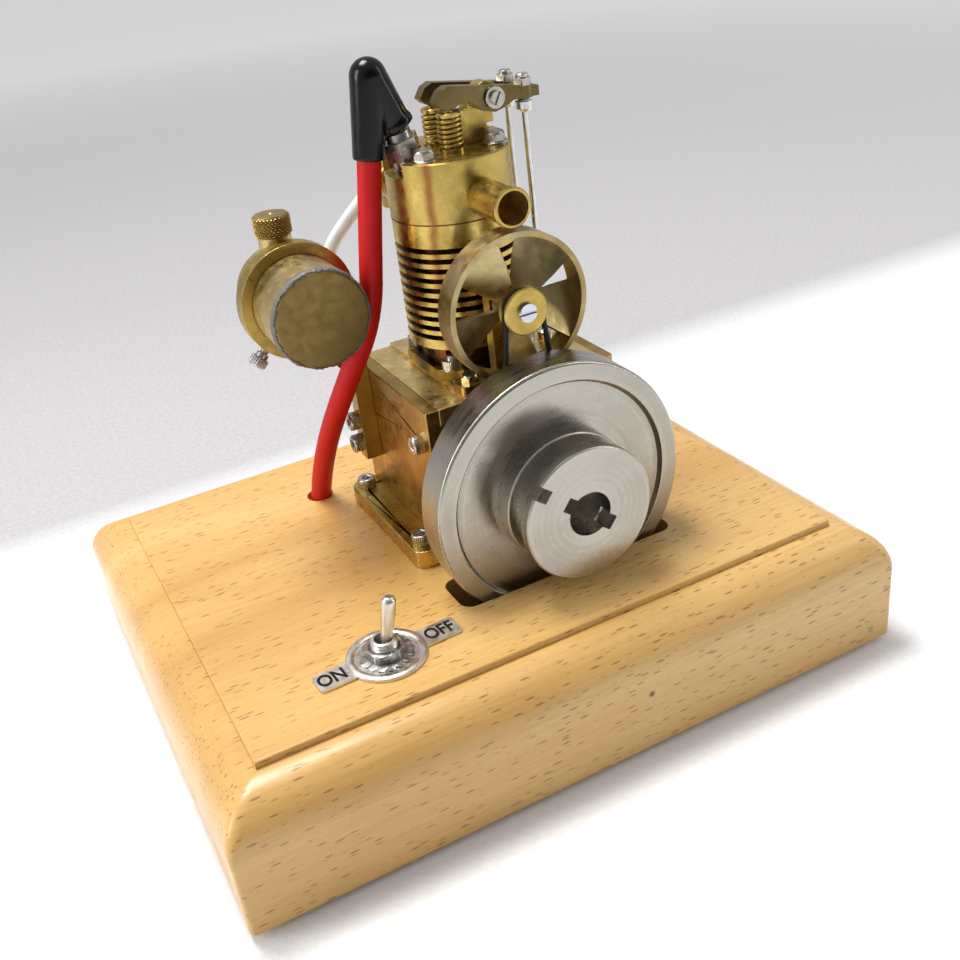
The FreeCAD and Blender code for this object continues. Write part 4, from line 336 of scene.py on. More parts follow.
def beech():
    """Lacquered beech: warm bands along X with the short dark flecks that mark the wood."""
    finish = Finish("beech", Roughness=0.34, Coat_Weight=0.22, Coat_Roughness=0.20)
    bands = finish.noise(24, detail=4, stretch=(7, 1, 1), twist=0.4)
    base = finish.ramp(bands, (0.28, (0.58, 0.322, 0.092)), (0.50, (0.70, 0.425, 0.138)),
                       (0.72, (0.78, 0.512, 0.195)))
    fibres = finish.noise(0.8, detail=4, stretch=(24, 1, 1), roughness=0.6)
    base = finish.blend(finish.level(fibres, 0.40, 0.70, 0.0, 0.34), base, (0.50, 0.235, 0.055))
    long_fleck = finish.level(finish.cells(1.0, stretch=(5.6, 1, 1)), 0.235, 0.15)
    fine_fleck = finish.level(finish.cells(0.72, stretch=(7.0, 1, 1)), 0.17, 0.10)
    patchy = finish.level(finish.noise(9, detail=2, stretch=(2, 1, 1)), 0.36, 0.52, 0.70, 1.0)
    flecks = finish.calc("MAXIMUM", long_fleck, finish.calc("MULTIPLY", fine_fleck, 0.6))
    flecks = finish.calc("MULTIPLY", flecks, patchy)
    base = finish.blend(finish.calc("MULTIPLY", flecks, 0.80), base, (0.27, 0.10, 0.024))
    low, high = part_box("wooden_base")
    knot = Vector((0.012, low.y, (low.z + high.z) / 2 - 0.001))
    spot = finish.distance(knot, "XZ")
    on_front = finish.level(finish.axes["Y"], low.y / MM + 1.0, low.y / MM + 0.5)
    mark = finish.calc("MULTIPLY", finish.level(spot, 1.0, 0.35), on_front)
    finish.colour(finish.blend(mark, base, (0.16, 0.06, 0.02)))
    finish.roughness(finish.level(finish.noise(7, detail=4), 0.3, 0.7, 0.28, 0.42))
    finish.bump(finish.calc("MULTIPLY", flecks, -1.0), 0.03, 0.4)
    finish.bump(finish.noise(14, detail=2, stretch=(3, 1, 1)), 0.05, 0.3)
    return finish


def rubber(name, tint, rough, coat=0.0):
    """Moulded rubber or soft plastic with a faint skin and dusty smears."""
    finish = Finish(name, Coat_Weight=coat, Coat_Roughness=0.08, Specular_IOR_Level=0.28)
    dust = finish.noise(5, detail=5)
    pale = tuple(min(1.0, channel * 1.15 + 0.002) for channel in tint)
    finish.colour(finish.ramp(dust, (0.40, tint), (0.75, pale)))
    finish.roughness(finish.level(dust, 0.3, 0.7, rough, rough + 0.12))
    finish.bump(finish.noise(0.5, detail=3), 0.015, 0.3)
    return finish


def clear_tube():
    """Milky silicone of the fuel hose: light passes through and scatters inside."""
    finish = Finish("clear_hose", Transmission_Weight=0.22, IOR=1.40, Coat_Weight=0.3,
                    Coat_Roughness=0.1)
    haze = finish.noise(2.5, detail=3)
    finish.colour(finish.ramp(haze, (0.35, (0.90, 0.91, 0.90)), (0.7, (0.97, 0.97, 0.96))))
    finish.roughness(finish.level(haze, 0.3, 0.7, 0.28, 0.4))
    return finish


# ---------------------------------------------------------------- showing and shaping
def dress(finish, *nodes):
    """Give CAD nodes a finish."""
    for name in nodes:
        mesh = frame["nodes"][name].data
        mesh.materials.clear()
        mesh.materials.append(finish.material)


def paint(node, finish, chosen):
    """Give a finish to the faces of a CAD node whose corners are all chosen."""
    mesh = frame["nodes"][node].data
    mesh.materials.append(finish.material)
    index = len(mesh.materials) - 1
    for face in mesh.polygons:
        if all(chosen(mesh.vertices[corner].co) for corner in face.vertices):
            face.material_index = index


def ease(width, *nodes, segments=2):
    """Break the sharp edges of CAD nodes, which then catch the light as machined edges do."""
    for name in nodes:
        piece = frame["nodes"][name]
        weld = piece.modifiers.new("weld", "WELD")
        weld.merge_threshold = 0.002 * MM
        bevel = piece.modifiers.new("edges", "BEVEL")
        bevel.width = width * MM
        bevel.segments = segments
        bevel.limit_method = "ANGLE"
        bevel.angle_limit = math.radians(38)
        bevel.use_clamp_overlap = True
        normals = piece.modifiers.new("normals", "WEIGHTED_NORMAL")
        normals.keep_sharp = False


def show(name, places, faces, finish, body, replaced=(), slot=None, smooth=40):
    """Make one piece of the look from its corners and faces, in metres in the frame."""
    mesh = bpy.data.meshes.new(name)
    mesh.from_pydata([tuple(place) for place in places], [], faces)
    mesh.update()
    mesh.validate()
    mesh.polygons.foreach_set("use_smooth", [True] * len(mesh.polygons))
    mesh.set_sharp_from_angle(angle=math.radians(smooth))
    mesh.materials.append(finish.material)
    piece = bpy.data.objects.new(name, mesh)
    bpy.context.scene.collection.objects.link(piece)
    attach(piece, body)
    if replaced:
        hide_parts(*replaced)
    return piece


def loft(rings, columns, capped=(True, True)):
    """Skin over rings of (radius or function of the angle, height), about +Z, in millimetres."""
    places, faces = [], []
    for radius, height in rings:
        for column in range(columns):
            angle = 2 * math.pi * column / columns
            reach = radius(angle) if callable(radius) else radius
            rise = height(angle) if callable(height) else height
            places.append(Vector((reach * math.cos(angle), reach * math.sin(angle), rise)))
    for row in range(len(rings) - 1):
        for column in range(columns):
            after = (column + 1) % columns
            faces.append((row * columns + column, row * columns + after,
                          (row + 1) * columns + after, (row + 1) * columns + column))
    if capped[0]:
        faces.append(tuple(reversed(range(columns))))
    if capped[1]:
        last = (len(rings) - 1) * columns
        faces.append(tuple(range(last, last + columns)))
    return places, faces


def placed(shape, origin, along=(0, 0, 1), spin=0.0):
    """Stand a lofted shape on origin, in metres, with its axis along a direction."""
    places, faces = shape
    turn = Vector(along).to_track_quat("Z", "Y").to_matrix()
    turn = turn @ Matrix.Rotation(math.radians(spin), 3, "Z")
    return [Vector(origin) + turn @ (place * MM) for place in places], faces


def joined(*shapes):
    places, faces = [], []
    for more_places, more_faces in shapes:
        first = len(places)
        places += more_places
        faces += [tuple(first + corner for corner in face) for face in more_faces]
    return places, faces


def wave(turns):
    """Triangle wave of a number of turns, from 0 to 1 and back."""
    return 1 - abs(2 * (turns - math.floor(turns)) - 1)


def hexagon(flats):
    """Radius of a hexagon, by its width across flats."""
    return lambda angle: flats / 2 / math.cos((angle + math.pi / 6) % (math.pi / 3) - math.pi / 6)


def socket_head(radius, height, key):
    """Cap of a socket screw: fluted side, rounded top edge and a hexagon recess."""
    def fluted(angle):
        return radius - 0.11 * (1 - min(1.0, 2.2 * wave(26 * angle / (2 * math.pi))))
    top = radius - 0.28
    return loft([(radius - 0.1, 0), (fluted, 0.12), (fluted, height - 0.38),
                 (radius - 0.03, height - 0.3), (radius - 0.10, height - 0.12), (top, height),
                 (key / 2 + 0.42, height),
                 (hexagon(key + 0.16), height - 0.05), (hexagon(key), height - 0.16),
                 (hexagon(key), height - 1.3), (0.2, height - 1.6)], 156, (True, True))


def screw_thread(radius, low, high, pitch, depth=0.16, columns=48):
    """Threaded rod: rings whose radius follows a helix, with a small chamfer at the top."""
    rings = []
    rows = int((high - low) / pitch * 8)
    for row in range(rows + 1):
        height = low + (high - low) * row / rows
        rim = radius - depth * max(0.0, (height - high + 0.35) / 0.35)

        def crest(angle, h=height, r=rim):
            return r - depth * wave(h / pitch - angle / (2 * math.pi))
        rings.append((crest, height))
    rings.append((radius - 2.2 * depth, high + 0.05))
    return loft(rings, columns, (True, True))


# ---------------------------------------------------------------- cords
CABLE_ROUTE = [(-5.5, 4.0, 120.2), (-8.15, 4.0, 103.6), (-9.6, 7.4, 85.0), (-16.7, 10.8, 70.9),
               (-21.3, 20.6, 53.6), (-22.6, 31.4, 36.0), (-22.9, 34.4, 25.5), (-22.9, 34.4, 16.0)]
HOSE_ROUTE = [(-22.9, 24.0, 78.0), (-20.3, 27.3, 72.9), (-16.4, 32.2, 70.9), (-12.4, 37.2, 72.5),
              (-9.6, 40.8, 77.3), (-8.0, 42.8, 85.3), (-5.2, 41.0, 93.3), (-0.8, 37.5, 99.6),
              (3.4, 33.6, 105.2)]


def cord(name, node, route, radius, finish):
    """Round cord on one smooth spline through the route's control points."""
    data = bpy.data.curves.new(name, "CURVE")
    data.dimensions = "3D"
    data.bevel_depth = radius * MM
    data.bevel_resolution = 8
    data.resolution_u = 24
    data.use_fill_caps = True
    spline = data.splines.new("NURBS")
    spline.points.add(len(route) - 1)
    for point, place in zip(spline.points, route):
        point.co = (*(Vector(place) * MM), 1)
    spline.order_u = 3
    spline.use_endpoint_u = True
    data.materials.append(finish.material)
    piece = bpy.data.objects.new(name, data)
    bpy.context.scene.collection.objects.link(piece)
    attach(piece, "engine")
    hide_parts(node)
    return piece


def make_cords():
    red = rubber("red_cable", (0.55, 0.003, 0.004), 0.42)
    cord("ignition_lead", "ignition_cable", CABLE_ROUTE, 2.6, red)
    cord("fuel_line", "fuel_hose", HOSE_ROUTE, 1.7, clear_tube())


# ---------------------------------------------------------------- detailed pieces
def make_boot():
    """Rubber boot as one soft moulding: the CAD solid remeshed fine and its joints smoothed."""
    source = frame["nodes"]["plug_boot"]
    piece = bpy.data.objects.new("moulded_boot", source.data.copy())
    bpy.context.scene.collection.objects.link(piece)
    remesh = piece.modifiers.new("skin", "REMESH")
    remesh.mode = "VOXEL"
    remesh.voxel_size = 0.22 * MM
    relax = piece.modifiers.new("relax", "SMOOTH")
    relax.factor = 0.5
    relax.iterations = 22
    seen = bpy.context.evaluated_depsgraph_get()
    smooth = bpy.data.meshes.new_from_object(piece.evaluated_get(seen))
    piece.modifiers.clear()
    piece.data = smooth
    smooth.polygons.foreach_set("use_smooth", [True] * len(smooth.polygons))
    finish = rubber("black_boot", (0.0015, 0.0015, 0.002), 0.15, coat=0.05)
    smooth.materials.clear()
    smooth.materials.append(finish.material)
    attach(piece, "engine")
    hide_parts("plug_boot")


def make_socket_screws(finish):
    """Socket screws of the plate, the case side and the tank arm, fluted as real ones are."""
    radius, height, key, thread, length = 2.25, 2.5, 2.0, 1.25, 6
    head = socket_head(radius, height, key)
    shank = loft([(thread, -length), (thread, 0)], 32)
    screw = joined(head, shank)
    reach = radius * MM
    low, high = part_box("plate_screws")
    seat = high.z - height * MM
    front, back = low.y + reach, high.y - reach
    plate = [placed(screw, (x, y, seat), spin=20 * x / MM)
             for x in (low.x + reach, high.x - reach) for y in (front, back)]
    show("plate_socket_screws", *joined(*plate), finish, "engine", ["plate_screws"], "nickel_screw")
    low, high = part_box("case_screw")
    place = (low.x + height * MM, (low.y + high.y) / 2, (low.z + high.z) / 2)
    side = placed(screw, place, (-1, 0, 0), 11)
    show("case_socket_screw", *side, finish, "engine", ["case_screw"], "nickel_screw")
    low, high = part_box("bracket_screws")
    arm = [placed(screw, (low.x + height * MM, (low.y + high.y) / 2, z), (-1, 0, 0), 25)
           for z in (low.z + reach, high.z - reach)]
    show("arm_socket_screws", *joined(*arm), finish, "engine", ["bracket_screws"], "nickel_screw")


def slotted_head(radius, height, slot, depth, columns=32):
    """Round screw head with rounded top edge and a driver slot across it, in millimetres."""
    floor = height - depth
    shape = loft([(radius - 0.05, 0), (radius, 0.08), (radius, floor)], columns)
    half = slot / 2
    start = math.asin(half / radius)
    for side in (0, math.pi):
        arc = [start + side + (math.pi - 2 * start) * step / 16 for step in range(17)]
        rims = [(radius, floor - 0.02), (radius, height - 0.15), (radius - 0.15, height)]
        sign = 1 if side == 0 else -1
        places = [Vector((reach * math.cos(a), max(half, reach * abs(math.sin(a))) * sign, rise))
                  for reach, rise in rims for a in arc]
        count = len(arc)
        faces = [(row * count + i, row * count + (i + 1) % count,
                  (row + 1) * count + (i + 1) % count, (row + 1) * count + i)
                 for row in range(len(rims) - 1) for i in range(count)]
        faces.append(tuple(reversed(range(count))))
        faces.append(tuple(range((len(rims) - 1) * count, len(rims) * count)))
        shape = joined(shape, (places, faces))
    return shape


def make_rocker_fittings(finish, brass_finish):
    """Slotted adjusters on the rockers, the shaft's washer and screw, brass spring retainers."""
    nut_low, screw_low, reach = 0.98 * MM, 2.45 * MM, 2.35 * MM
    for end in ("exhaust", "inlet"):
        pivot = joint_place(end + "_rocker")
        rod_low, rod_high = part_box(end + "_pushrod")
        middle = (rod_low + rod_high) / 2
        tip = slotted_head(1.34, 0.95, 0.42, 0.42)
        spin = 35 if end == "inlet" else 70
        shape = placed(tip, (middle.x, middle.y, pivot.z + screw_low), spin=spin)
        show(end + "_adjuster_screw", *shape, finish, end + "_rocker", slot="brass")

        def fitting(corner, x=middle.x, y=middle.y, top=pivot.z + nut_low):
            return math.hypot(corner.x - x, corner.y - y) < reach and corner.z > top
        paint(end + "_rocker", finish, fitting)
        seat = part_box(end + "_spring")[1].z - 0.02 * MM
        paint(end + "_valve", brass_finish, lambda corner, z=seat: corner.z > z)
    low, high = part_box("rocker_shaft")
    place = ((low.x + high.x) / 2, low.y + 0.1 * MM, (low.z + high.z) / 2)
    washer = loft([(1.0, -0.35), (2.2, -0.35), (2.3, -0.25), (2.3, 0.0), (2.2, 0.1), (1.0, 0.1)], 48)
    show("shaft_washer", *placed(washer, place, (0, -1, 0)), finish, "engine", slot="zinc")
    screw = slotted_head(1.45, 1.0, 0.45, 0.5)
    show("shaft_screw", *placed(screw, place, (0, -1, 0), spin=60), finish, "engine", slot="zinc")


def make_springs(finish):
    """Valve springs as wound wire."""
    wire, turns, steps, sides, travel = 0.4, 5.5, 44, 12, 1.452
    for end in ("exhaust", "inlet"):
        low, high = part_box(end + "_spring")
        centre = (low + high) / 2
        radius = (high.x - low.x) / 2 / MM - wire
        tall = (high.z - low.z) / MM
        places, faces = [], []
        count = int(turns * steps)
        for step in range(count + 1):
            angle = 2 * math.pi * step / steps
            middle = wire + (tall - 2 * wire) * step / count
            for side in range(sides):
                turn = 2 * math.pi * side / sides
                reach = radius + wire * math.cos(turn)
                rise = middle + wire * math.sin(turn)
                places.append(Vector((reach * math.cos(angle), reach * math.sin(angle), rise)))
        for step in range(count):
            for side in range(sides):
                after = (side + 1) % sides
                faces.append((step * sides + side, (step + 1) * sides + side,
                              (step + 1) * sides + after, step * sides + after))
        faces.append(tuple(range(sides)))
        faces.append(tuple(reversed(range(count * sides, (count + 1) * sides))))
        shape = placed((places, faces), (centre.x, centre.y, low.z))
        coil = show(end + "_coil", *shape, finish, "engine", [end + "_spring"], "brass", smooth=60)
        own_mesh(coil)


def make_studs(finish):
    """Nuts of the cylinder flange with threaded stud ends, each nut on a thin washer."""
    low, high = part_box("cylinder_nuts")
    flats, nut_height, tip = 4.4, 2.2, 0.9
    reach = flats / 2 / math.cos(math.pi / 6) * MM
    seat = high.z - (nut_height + tip) * MM

    def corner(angle):
        return min(hexagon(flats)(angle), flats * 0.54)

    def shoulder(angle):
        return nut_height - max(0.0, (hexagon(flats)(angle) - flats / 2) * 0.7)
    shapes = []
    for x in (low.x + reach, high.x - reach):
        for y in (low.y + flats / 2 * MM, high.y - flats / 2 * MM):
            nut = loft([(1.2, 0), (2.62, 0), (2.66, 0.3), (corner, 0.32), (corner, shoulder),
                        (flats / 2 - 0.1, nut_height), (1.25, nut_height)], 96)
            stud = screw_thread(1.24, -2.0, nut_height + tip - 0.06, 0.45, 0.13)
            shapes += [placed(nut, (x, y, seat), spin=30 * x / MM), placed(stud, (x, y, seat))]
    show("flange_nuts", *joined(*shapes), finish, "engine", ["cylinder_nuts"], "nickel_screw")


def make_head_fittings(finish, dark):
    """Washers under the four head bolts and the thin gasket between head and cylinder, painted dark
    brown both as the gasket and as painted shade under the head's edge.
    """
    head_height = 12.9 * MM
    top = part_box("cylinder_head")[0].z + head_height
    for number in (1, 2, 3, 4):
        low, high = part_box("head_bolt_%d" % number)
        place = ((low.x + high.x) / 2, (low.y + high.y) / 2, top)
        washer = loft([(1.3, 0.0), (2.68, 0.0), (2.72, 0.08), (2.72, 0.30), (2.64, 0.38),
                       (1.3, 0.38)], 48)
        show("head_washer_%d" % number, *placed(washer, place), finish, "engine", slot="nickel_screw")
    low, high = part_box("cylinder_head")
    centre = (low + high) / 2
    radius = (high.x - low.x) / 2 / MM
    half, inner, outer = 0.17, radius - 0.6, radius + 0.03
    ring = [(inner, -half), (outer, -half), (outer, half), (inner, half)]
    gasket_shade_line = loft(ring + ring[:1], 96, (False, False))
    # The ring is painted dark: partly the gasket's own brown, partly painted shade along the joint
    # under the head.
    show("head_gasket_shade_line", *placed(gasket_shade_line, (centre.x, centre.y, low.z)), dark, "engine", slot="brass")


def make_filler_cap(finish):
    """Filler cap with a diamond knurl, a turned top and a small dimple in its middle."""
    low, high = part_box("filler_cap")
    centre = (low + high) / 2
    radius = (high.x - low.x) / 2 / MM
    tall, plug = 4.8, 1.95
    base = high.z - tall * MM
    rings = [(plug, -2.5), (plug, 0.05), (radius - 0.5, 0.05), (radius - 0.1, 0.4)]
    rows, around, pitch, depth = 52, 28, 0.98, 0.38
    for row in range(rows + 1):
        height = 0.5 + 3.8 * row / rows

        def knurl(angle, h=height):
            right = wave(around * angle / (2 * math.pi) + h / pitch)
            left = wave(around * angle / (2 * math.pi) - h / pitch)
            return radius - depth * (1 - min(1.0, 1.5 * min(left, right)))
        rings.append((knurl, height))
    rings += [(radius - 0.35, 4.45), (radius - 0.55, 4.75), (radius - 0.75, tall), (2.2, tall),
              (0.75, 4.79), (0.55, 4.72), (0.3, 4.45), (0.08, 4.4)]
    shape = placed(loft(rings, 448), (centre.x, centre.y, base))
    show("knurled_cap", *shape, finish, "filler_cap", ["filler_cap"], "brass", smooth=30)


def make_clamp_screw(finish):
    """Thumb screw of the tank clamp: threaded stem, neck and a straight-knurled head."""
    low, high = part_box("tank_bracket")
    tank_low, tank_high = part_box("fuel_tank")
    ring_radius, head = 13.4, 2.1
    centre = Vector(((tank_low.x + tank_high.x) / 2, (low.y + high.y) / 2, high.z - ring_radius * MM))

    def ridged(angle):
        return head - 0.16 * (1 - min(1.0, 2 * wave(22 * angle / (2 * math.pi))))
    stem = screw_thread(0.99, 11.05, 14.5, 0.45, 0.1, 32)
    knob = loft([(1.0, 14.3), (1.45, 14.4), (1.5, 15.3), (1.9, 15.5), (ridged, 15.7), (ridged, 17.2),
                 (head - 0.2, 17.4), (head - 0.4, 17.65), (0.4, 17.7), (0.2, 17.6)], 132)
    shape = placed(joined(stem, knob), centre, (-1, 0, -1))
    show("thumb_screw", *shape, finish, "clamp_screw", ["clamp_screw"], "nickel_screw")


def paint_bore(finish):
    """Inner wall of the exhaust pipe, painted a light brass: a painted highlight that stands in for the
    light caught inside the dark pipe.
    """
    low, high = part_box("exhaust_pipe")
    centre = (low + high) / 2
    between_walls = 3.65 * MM
    paint("exhaust_pipe", finish,
          lambda corner: math.hypot(corner.x - centre.x, corner.z - centre.z) < between_walls)


def make_solder_ring(finish):
    """Uneven bead of solder that joins the lid to the tank's barrel."""
    low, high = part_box("tank_lid")
    centre = (low + high) / 2
    major = (high.x - low.x) / 2 / MM + 0.10
    columns, sides, thick, wide, middle = 240, 14, 0.75, 1.65, 1.45
    places, faces = [], []
    for column in range(columns):
        angle = 2 * math.pi * column / columns
        spot = Vector((math.cos(angle), math.sin(angle), 0.0))
        swell = 0.70 + 0.24 * noise.noise(spot * 3.2) + 0.16 * noise.noise(spot * 13)
        drift = 0.30 * noise.noise(spot * 5 + Vector((7, 0, 0)))
        for side in range(sides):
            turn = 2 * math.pi * side / sides
            rough = 1 + 0.30 * noise.noise(spot * 22 + Vector((0, 0, turn)))
            reach = major + thick * swell * rough * math.cos(turn)
            rise = middle + drift + wide * swell * rough * math.sin(turn)
            places.append(Vector((centre.x + reach * MM * math.cos(angle), low.y + rise * MM,
                                  centre.z + reach * MM * math.sin(angle))))
    for column in range(columns):
        after = (column + 1) % columns
        for side in range(sides):
            other = (side + 1) % sides
            faces.append((column * sides + side, column * sides + other,
                          after * sides + other, after * sides + side))
    show("solder_ring", places, faces, finish, "engine", slot="brass", smooth=80)


def letters(name, text, size, width, place, turn, finish):
    """Painted word of the given width, as thin raised letters."""
    data = bpy.data.curves.new(name, "FONT")
    data.body = text
    data.size = size * MM
    data.align_x = "CENTER"
    data.align_y = "CENTER"
    data.extrude = 0.03 * MM
    data.offset = 0.13 * MM
    drawn = bpy.data.objects.new(name + "_drawn", data)
    bpy.context.scene.collection.objects.link(drawn)
    bpy.context.view_layer.update()
    seen = bpy.context.evaluated_depsgraph_get()
    mesh = bpy.data.meshes.new_from_object(drawn.evaluated_get(seen))
    bpy.data.objects.remove(drawn)
    spread = max(v.co.x for v in mesh.vertices) - min(v.co.x for v in mesh.vertices)
    narrowed = Matrix.Diagonal((width * MM / spread, 1, 1, 1))
    mesh.transform(Matrix.Translation(place) @ Matrix.Rotation(turn, 4, "Z") @ narrowed)
    mesh.materials.clear()
    mesh.materials.append(finish.material)
    piece = bpy.data.objects.new(name, mesh)
    bpy.context.scene.collection.objects.link(piece)
    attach(piece, "engine")


def make_switch(plating, nut_steel, dark):
    """Toggle switch: rimmed plate with its two words, lock washer, nut, threaded neck, lever."""
    low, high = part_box("switch_plate")
    body_low, body_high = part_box("switch_body")
    nut_low, nut_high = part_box("switch_nut")
    centre = Vector(((body_low.x + body_high.x) / 2, (body_low.y + body_high.y) / 2, 0))
    deck, face, turn = low.z, high.z, math.radians(3.0)
    disc = (high.y - low.y) / 2 / MM
    rim = loft([(disc - 1.8, 0), (disc - 1.72, 0.22), (disc - 1.40, 0.36), (disc - 0.42, 0.36),
                (disc - 0.08, 0.14), (disc - 0.02, -0.12)], 128, (False, False))
    show("switch_rim", *placed(rim, (centre.x, centre.y, face)), plating, "engine",
         slot="switch_plating")
    along = Vector((math.cos(turn), math.sin(turn), 0))
    for name, text, width, reach in (("word_on", "ON", 6.0, -12.3), ("word_off", "OFF", 6.6, 12.5)):
        place = Vector((centre.x, centre.y, face + 0.02 * MM)) + along * reach * MM
        letters(name, text, 5.2, width, place, turn, dark)
    ring = (nut_high.x - nut_low.x) / 2 / MM

    def tooth(angle):
        return ring - 0.75 * (1 - min(1.0, 2.4 * wave(16 * angle / (2 * math.pi))))

    def lifted(angle):
        return 0.28 + 0.22 * (wave(16 * angle / (2 * math.pi) + 0.3) - 0.5)
    washer = loft([(3.0, 0), (3.0, 0.45), (ring - 1.2, 0.45), (tooth, lifted),
                   (tooth, lambda angle: lifted(angle) - 0.2), (ring - 1.2, 0.02)], 192, (False, False))
    show("lock_washer", *placed(washer, (centre.x, centre.y, face)), nut_steel, "engine",
         ["switch_nut"], "switch_plating")
    flats, tall = 8.0, 2.0

    def corner(angle):
        return min(hexagon(flats)(angle), flats * 0.535)

    def shoulder(angle):
        return tall - max(0.0, (hexagon(flats)(angle) - flats / 2) * 0.62)
    nut = loft([(2.95, 0.0), (corner, 0.0), (corner, lambda angle: shoulder(angle) - 0.02),
                (flats / 2 - 0.12, tall), (3.2, tall), (2.95, tall - 0.2)], 120, (False, False))
    show("switch_hexagon", *placed(nut, (centre.x, centre.y, face + 0.5 * MM), spin=14), nut_steel,
         "engine", slot="switch_plating")
    top = (body_high.z - deck) / MM
    thread, pitch, depth, foot = 2.94, 0.75, 0.34, -5.2
    places, faces = screw_thread(thread, foot, top - 0.1, pitch, depth, 96)
    faces = faces[:-1]
    crown = loft([(thread - 2.2 * depth, top - 0.05), (2.05, top - 0.05), (2.0, top - 0.2),
                  (2.0, 0.4), (0.1, 0.4)], 96, (False, True))
    bushing = placed(joined((places, faces), crown), (centre.x, centre.y, deck))
    case_half = ((body_high.x - body_low.x) / 2, (body_high.y - body_low.y) / 2)
    show("threaded_neck", *bushing, plating, "engine", ["switch_body"], "switch_plating", smooth=30)
    case_top = deck - 5.0 * MM
    make_switch_case(centre, body_low.z, case_top, case_half)
    make_lever(plating)


def make_switch_case(centre, bottom, top, half):
    """Moulded case of the switch, below the wood, with its two soldering tags."""
    finish = rubber("switch_case", (0.03, 0.03, 0.035), 0.45)
    wide, deep = half[0] / MM, half[1] / MM
    tiny, inset = 1e-6, 0.998

    def square(angle):
        across = wide / max(tiny, abs(math.cos(angle)))
        return min(across, deep / max(tiny, abs(math.sin(angle)))) * inset
    tall = (top - bottom) / MM
    case = loft([(lambda angle: square(angle) - 0.3, 2.0), (square, 2.3), (square, tall - 0.3),
                 (lambda angle: square(angle) - 0.3, tall)], 96)
    tags = []
    for side in (-1, 1):
        tag = loft([(0.9, 0.0), (1.0, 0.3), (1.0, 2.1)], 24)
        tags.append(placed(tag, (centre.x + side * 3.6 * MM, centre.y, bottom)))
    case = placed(case, (centre.x, centre.y, bottom))
    show("switch_case", *joined(case, *tags), finish, "engine", slot="switch_plating")


def make_lever(plating):
    """Lever with a slim root and a rounded tip, on its ball."""
    pivot = joint_place("switch_lever")
    lean = math.radians(12.0)
    tip = 1.58
    rings = [(0.3, -1.55), (1.0, -1.2), (1.5, -0.4), (1.55, 0.2), (1.3, 1.0), (1.22, 1.5), (1.28, 4.0),
             (1.38, 6.0), (1.48, 8.5), (tip, 10.8), (tip, 12.0), (tip - 0.10, 12.5),
             (tip - 0.38, 12.95), (tip - 0.8, 13.15), (0.1, 13.2)]
    shape = placed(loft(rings, 64), pivot, (math.sin(lean), 0, math.cos(lean)))
    show("toggle_lever", *shape, plating, "switch_lever", ["switch_lever"], "switch_plating", smooth=60)


# ---------------------------------------------------------------- the whole engine
BOLTS = ("head_bolt_1", "head_bolt_2", "head_bolt_3", "head_bolt_4")
DRESSED = {
    "wood": ("wooden_base",),
    "board": ("base_cover",),
    "black": ("base_feet", "fan_belt"),
    "module": ("ignition_module",),
    "plate": ("engine_plate",),
    "roof": ("case_roof",),
    "arm": ("exhaust_rocker", "inlet_rocker"),
    "side": ("case_left", "case_right", "case_front", "case_back"),
    "barrel": ("cylinder",),
    "head": ("cylinder_head",),
    "plain": ("exhaust_pipe", "rocker_stand", "connecting_rod", "fan_bracket", "carburettor",
              "throttle_lever", "fan_pulley"),
    "fan": ("fan_wheel",),
    "clamp": ("tank_bracket",),
    "tank": ("fuel_tank",),
    "lid": ("tank_lid",),
    "nickel": ("fan_bracket_screws",),
    "plating": ("switch_plate",),
    "satin": (*BOLTS, "spark_plug"),
    "bright": ("exhaust_valve", "inlet_valve", "exhaust_pushrod", "inlet_pushrod", "camshaft",
               "crankshaft_front", "crankshaft_rear", "piston"),
    "zinc": ("rocker_shaft", "fan_axle"),
    "turned": ("flywheel", "starter_hub", "crank_pulley"),
}
# Short name of a brass: material, light tone, deep tone, stain, roughness, lay of its tool marks.
BRASSES = {
    "roof": ("brass_roof", (0.86, 0.66, 0.29), (0.68, 0.50, 0.19), 0.3, 0.27, (7, 1, 1)),
    "side": ("brass_side", (0.54, 0.35, 0.10), (0.38, 0.225, 0.055), 0.4, 0.30, (1, 1, 7)),
    "arm": ("brass_arm", (0.20, 0.152, 0.06), (0.145, 0.106, 0.038), 0.25, 0.30, (6, 1, 1)),
    "tank": ("brass_tank", (0.60, 0.46, 0.22), (0.54, 0.405, 0.185), 0.10, 0.33, (6, 1, 6)),
    "lid": ("brass_lid", (0.235, 0.163, 0.056), (0.225, 0.155, 0.052), 0.08, 0.36),
    "fan": ("brass_fan", (0.52, 0.42, 0.21), (0.36, 0.27, 0.11), 0.6, 0.32),
    "clamp": ("brass_clamp", (0.50, 0.355, 0.105), (0.40, 0.275, 0.075), 0.25, 0.30),
    # Dark brown of the head joint: partly the gasket's colour, partly painted shade under the head.
    "gasket_shade_line": ("gasket_shade_line", (0.20, 0.085, 0.03), (0.12, 0.045, 0.018), 0.3, 0.38),
    # Painted highlight: a light brass for the inside of the exhaust pipe, brighter than the shade
    # there.
    "bore": ("bore_brass", (0.92, 0.68, 0.30), (0.75, 0.50, 0.20), 0.2, 0.4),
    "knurl": ("brass_knurl", (0.44, 0.31, 0.11), (0.36, 0.245, 0.08), 0.12, 0.28),
}


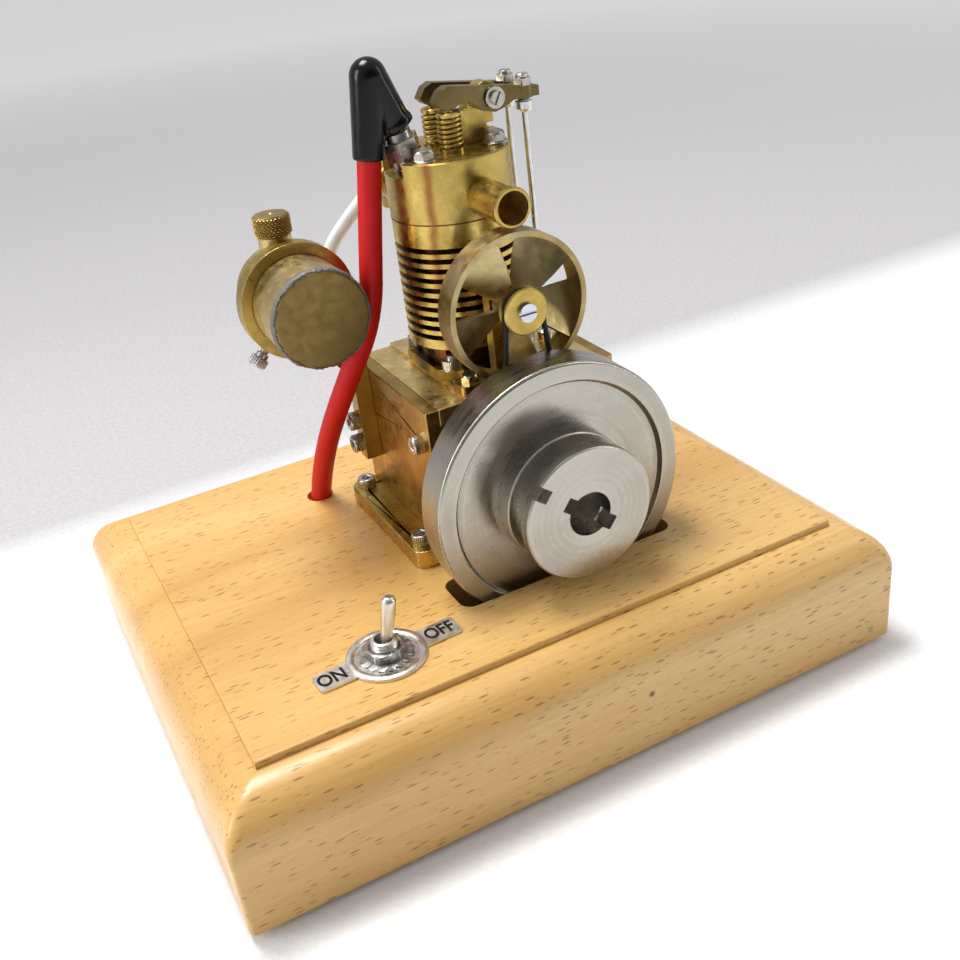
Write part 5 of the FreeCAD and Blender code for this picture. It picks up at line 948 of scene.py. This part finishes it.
def make_finishes():
    """Every finish of the engine and its base, by short name."""
    finishes = {short: brass(*values) for short, values in BRASSES.items()}
    finishes.update(
        plain=brass("brass", lay=(1, 1, 1)),
        plate=brass("brass_plate", lay=(7, 1, 1), rough=0.25),
        barrel=cylinder_brass(),
        head=head_brass(),
        nickel=steel("nickel", (0.56, 0.535, 0.49), 0.24, 0.06),
        satin=steel("satin_steel", (0.45, 0.425, 0.375), 0.27, 0.05),
        bright=steel("bright_steel", (0.70, 0.69, 0.66), 0.18),
        zinc=steel("zinc", (0.62, 0.66, 0.72), 0.22),
        tool=steel("tool_steel", (0.45, 0.44, 0.42), 0.28),
        turned=lathe_metal("turned_metal", joint_place("crank"), mottle=0.2),
        plating=steel("switch_plating", (0.74, 0.71, 0.655), 0.30, 0.03),
        solder=dull_solder(),
        black=rubber("belt_rubber", (0.016, 0.016, 0.017), 0.5),
        module=rubber("module_case", (0.025, 0.025, 0.028), 0.4),
        board=rubber("cover_board", (0.035, 0.033, 0.03), 0.55),
        letter=rubber("letter_paint", (0.002, 0.002, 0.002), 0.65),
        wood=beech())
    return finishes


def dull_solder():
    """Grey solder, half metal, with a lumpy skin."""
    finish = steel("solder", (0.185, 0.175, 0.155), 0.55, 1.0)
    finish.shader.inputs["Metallic"].default_value = 0.4
    finish.bump(finish.noise(0.6, detail=4), 0.16, 0.8)
    return finish


def dress_engine():
    """Dress and ease the CAD nodes, then make the detailed pieces."""
    finishes = make_finishes()
    for short, nodes in DRESSED.items():
        dress(finishes[short], *nodes)
    ease(0.25, *DRESSED["plate"], *DRESSED["side"], *DRESSED["roof"])
    ease(0.20, "flywheel", "starter_hub")
    ease(0.35, "tank_lid", segments=3)
    ease(0.15, *DRESSED["arm"], "rocker_stand", "tank_bracket", "fan_bracket", *DRESSED["satin"])
    nickel, tool = finishes["nickel"], finishes["tool"]
    make_socket_screws(nickel)
    make_rocker_fittings(nickel, finishes["plain"])
    make_springs(finishes["plain"])
    make_studs(nickel)
    make_head_fittings(nickel, finishes["gasket_shade_line"])
    paint_bore(finishes["bore"])
    make_filler_cap(finishes["knurl"])
    make_clamp_screw(tool)
    make_solder_ring(finishes["solder"])
    make_switch(finishes["plating"], tool, finishes["letter"])


make_camera()
make_light()
make_floor()
make_cords()
make_boot()
dress_engine()
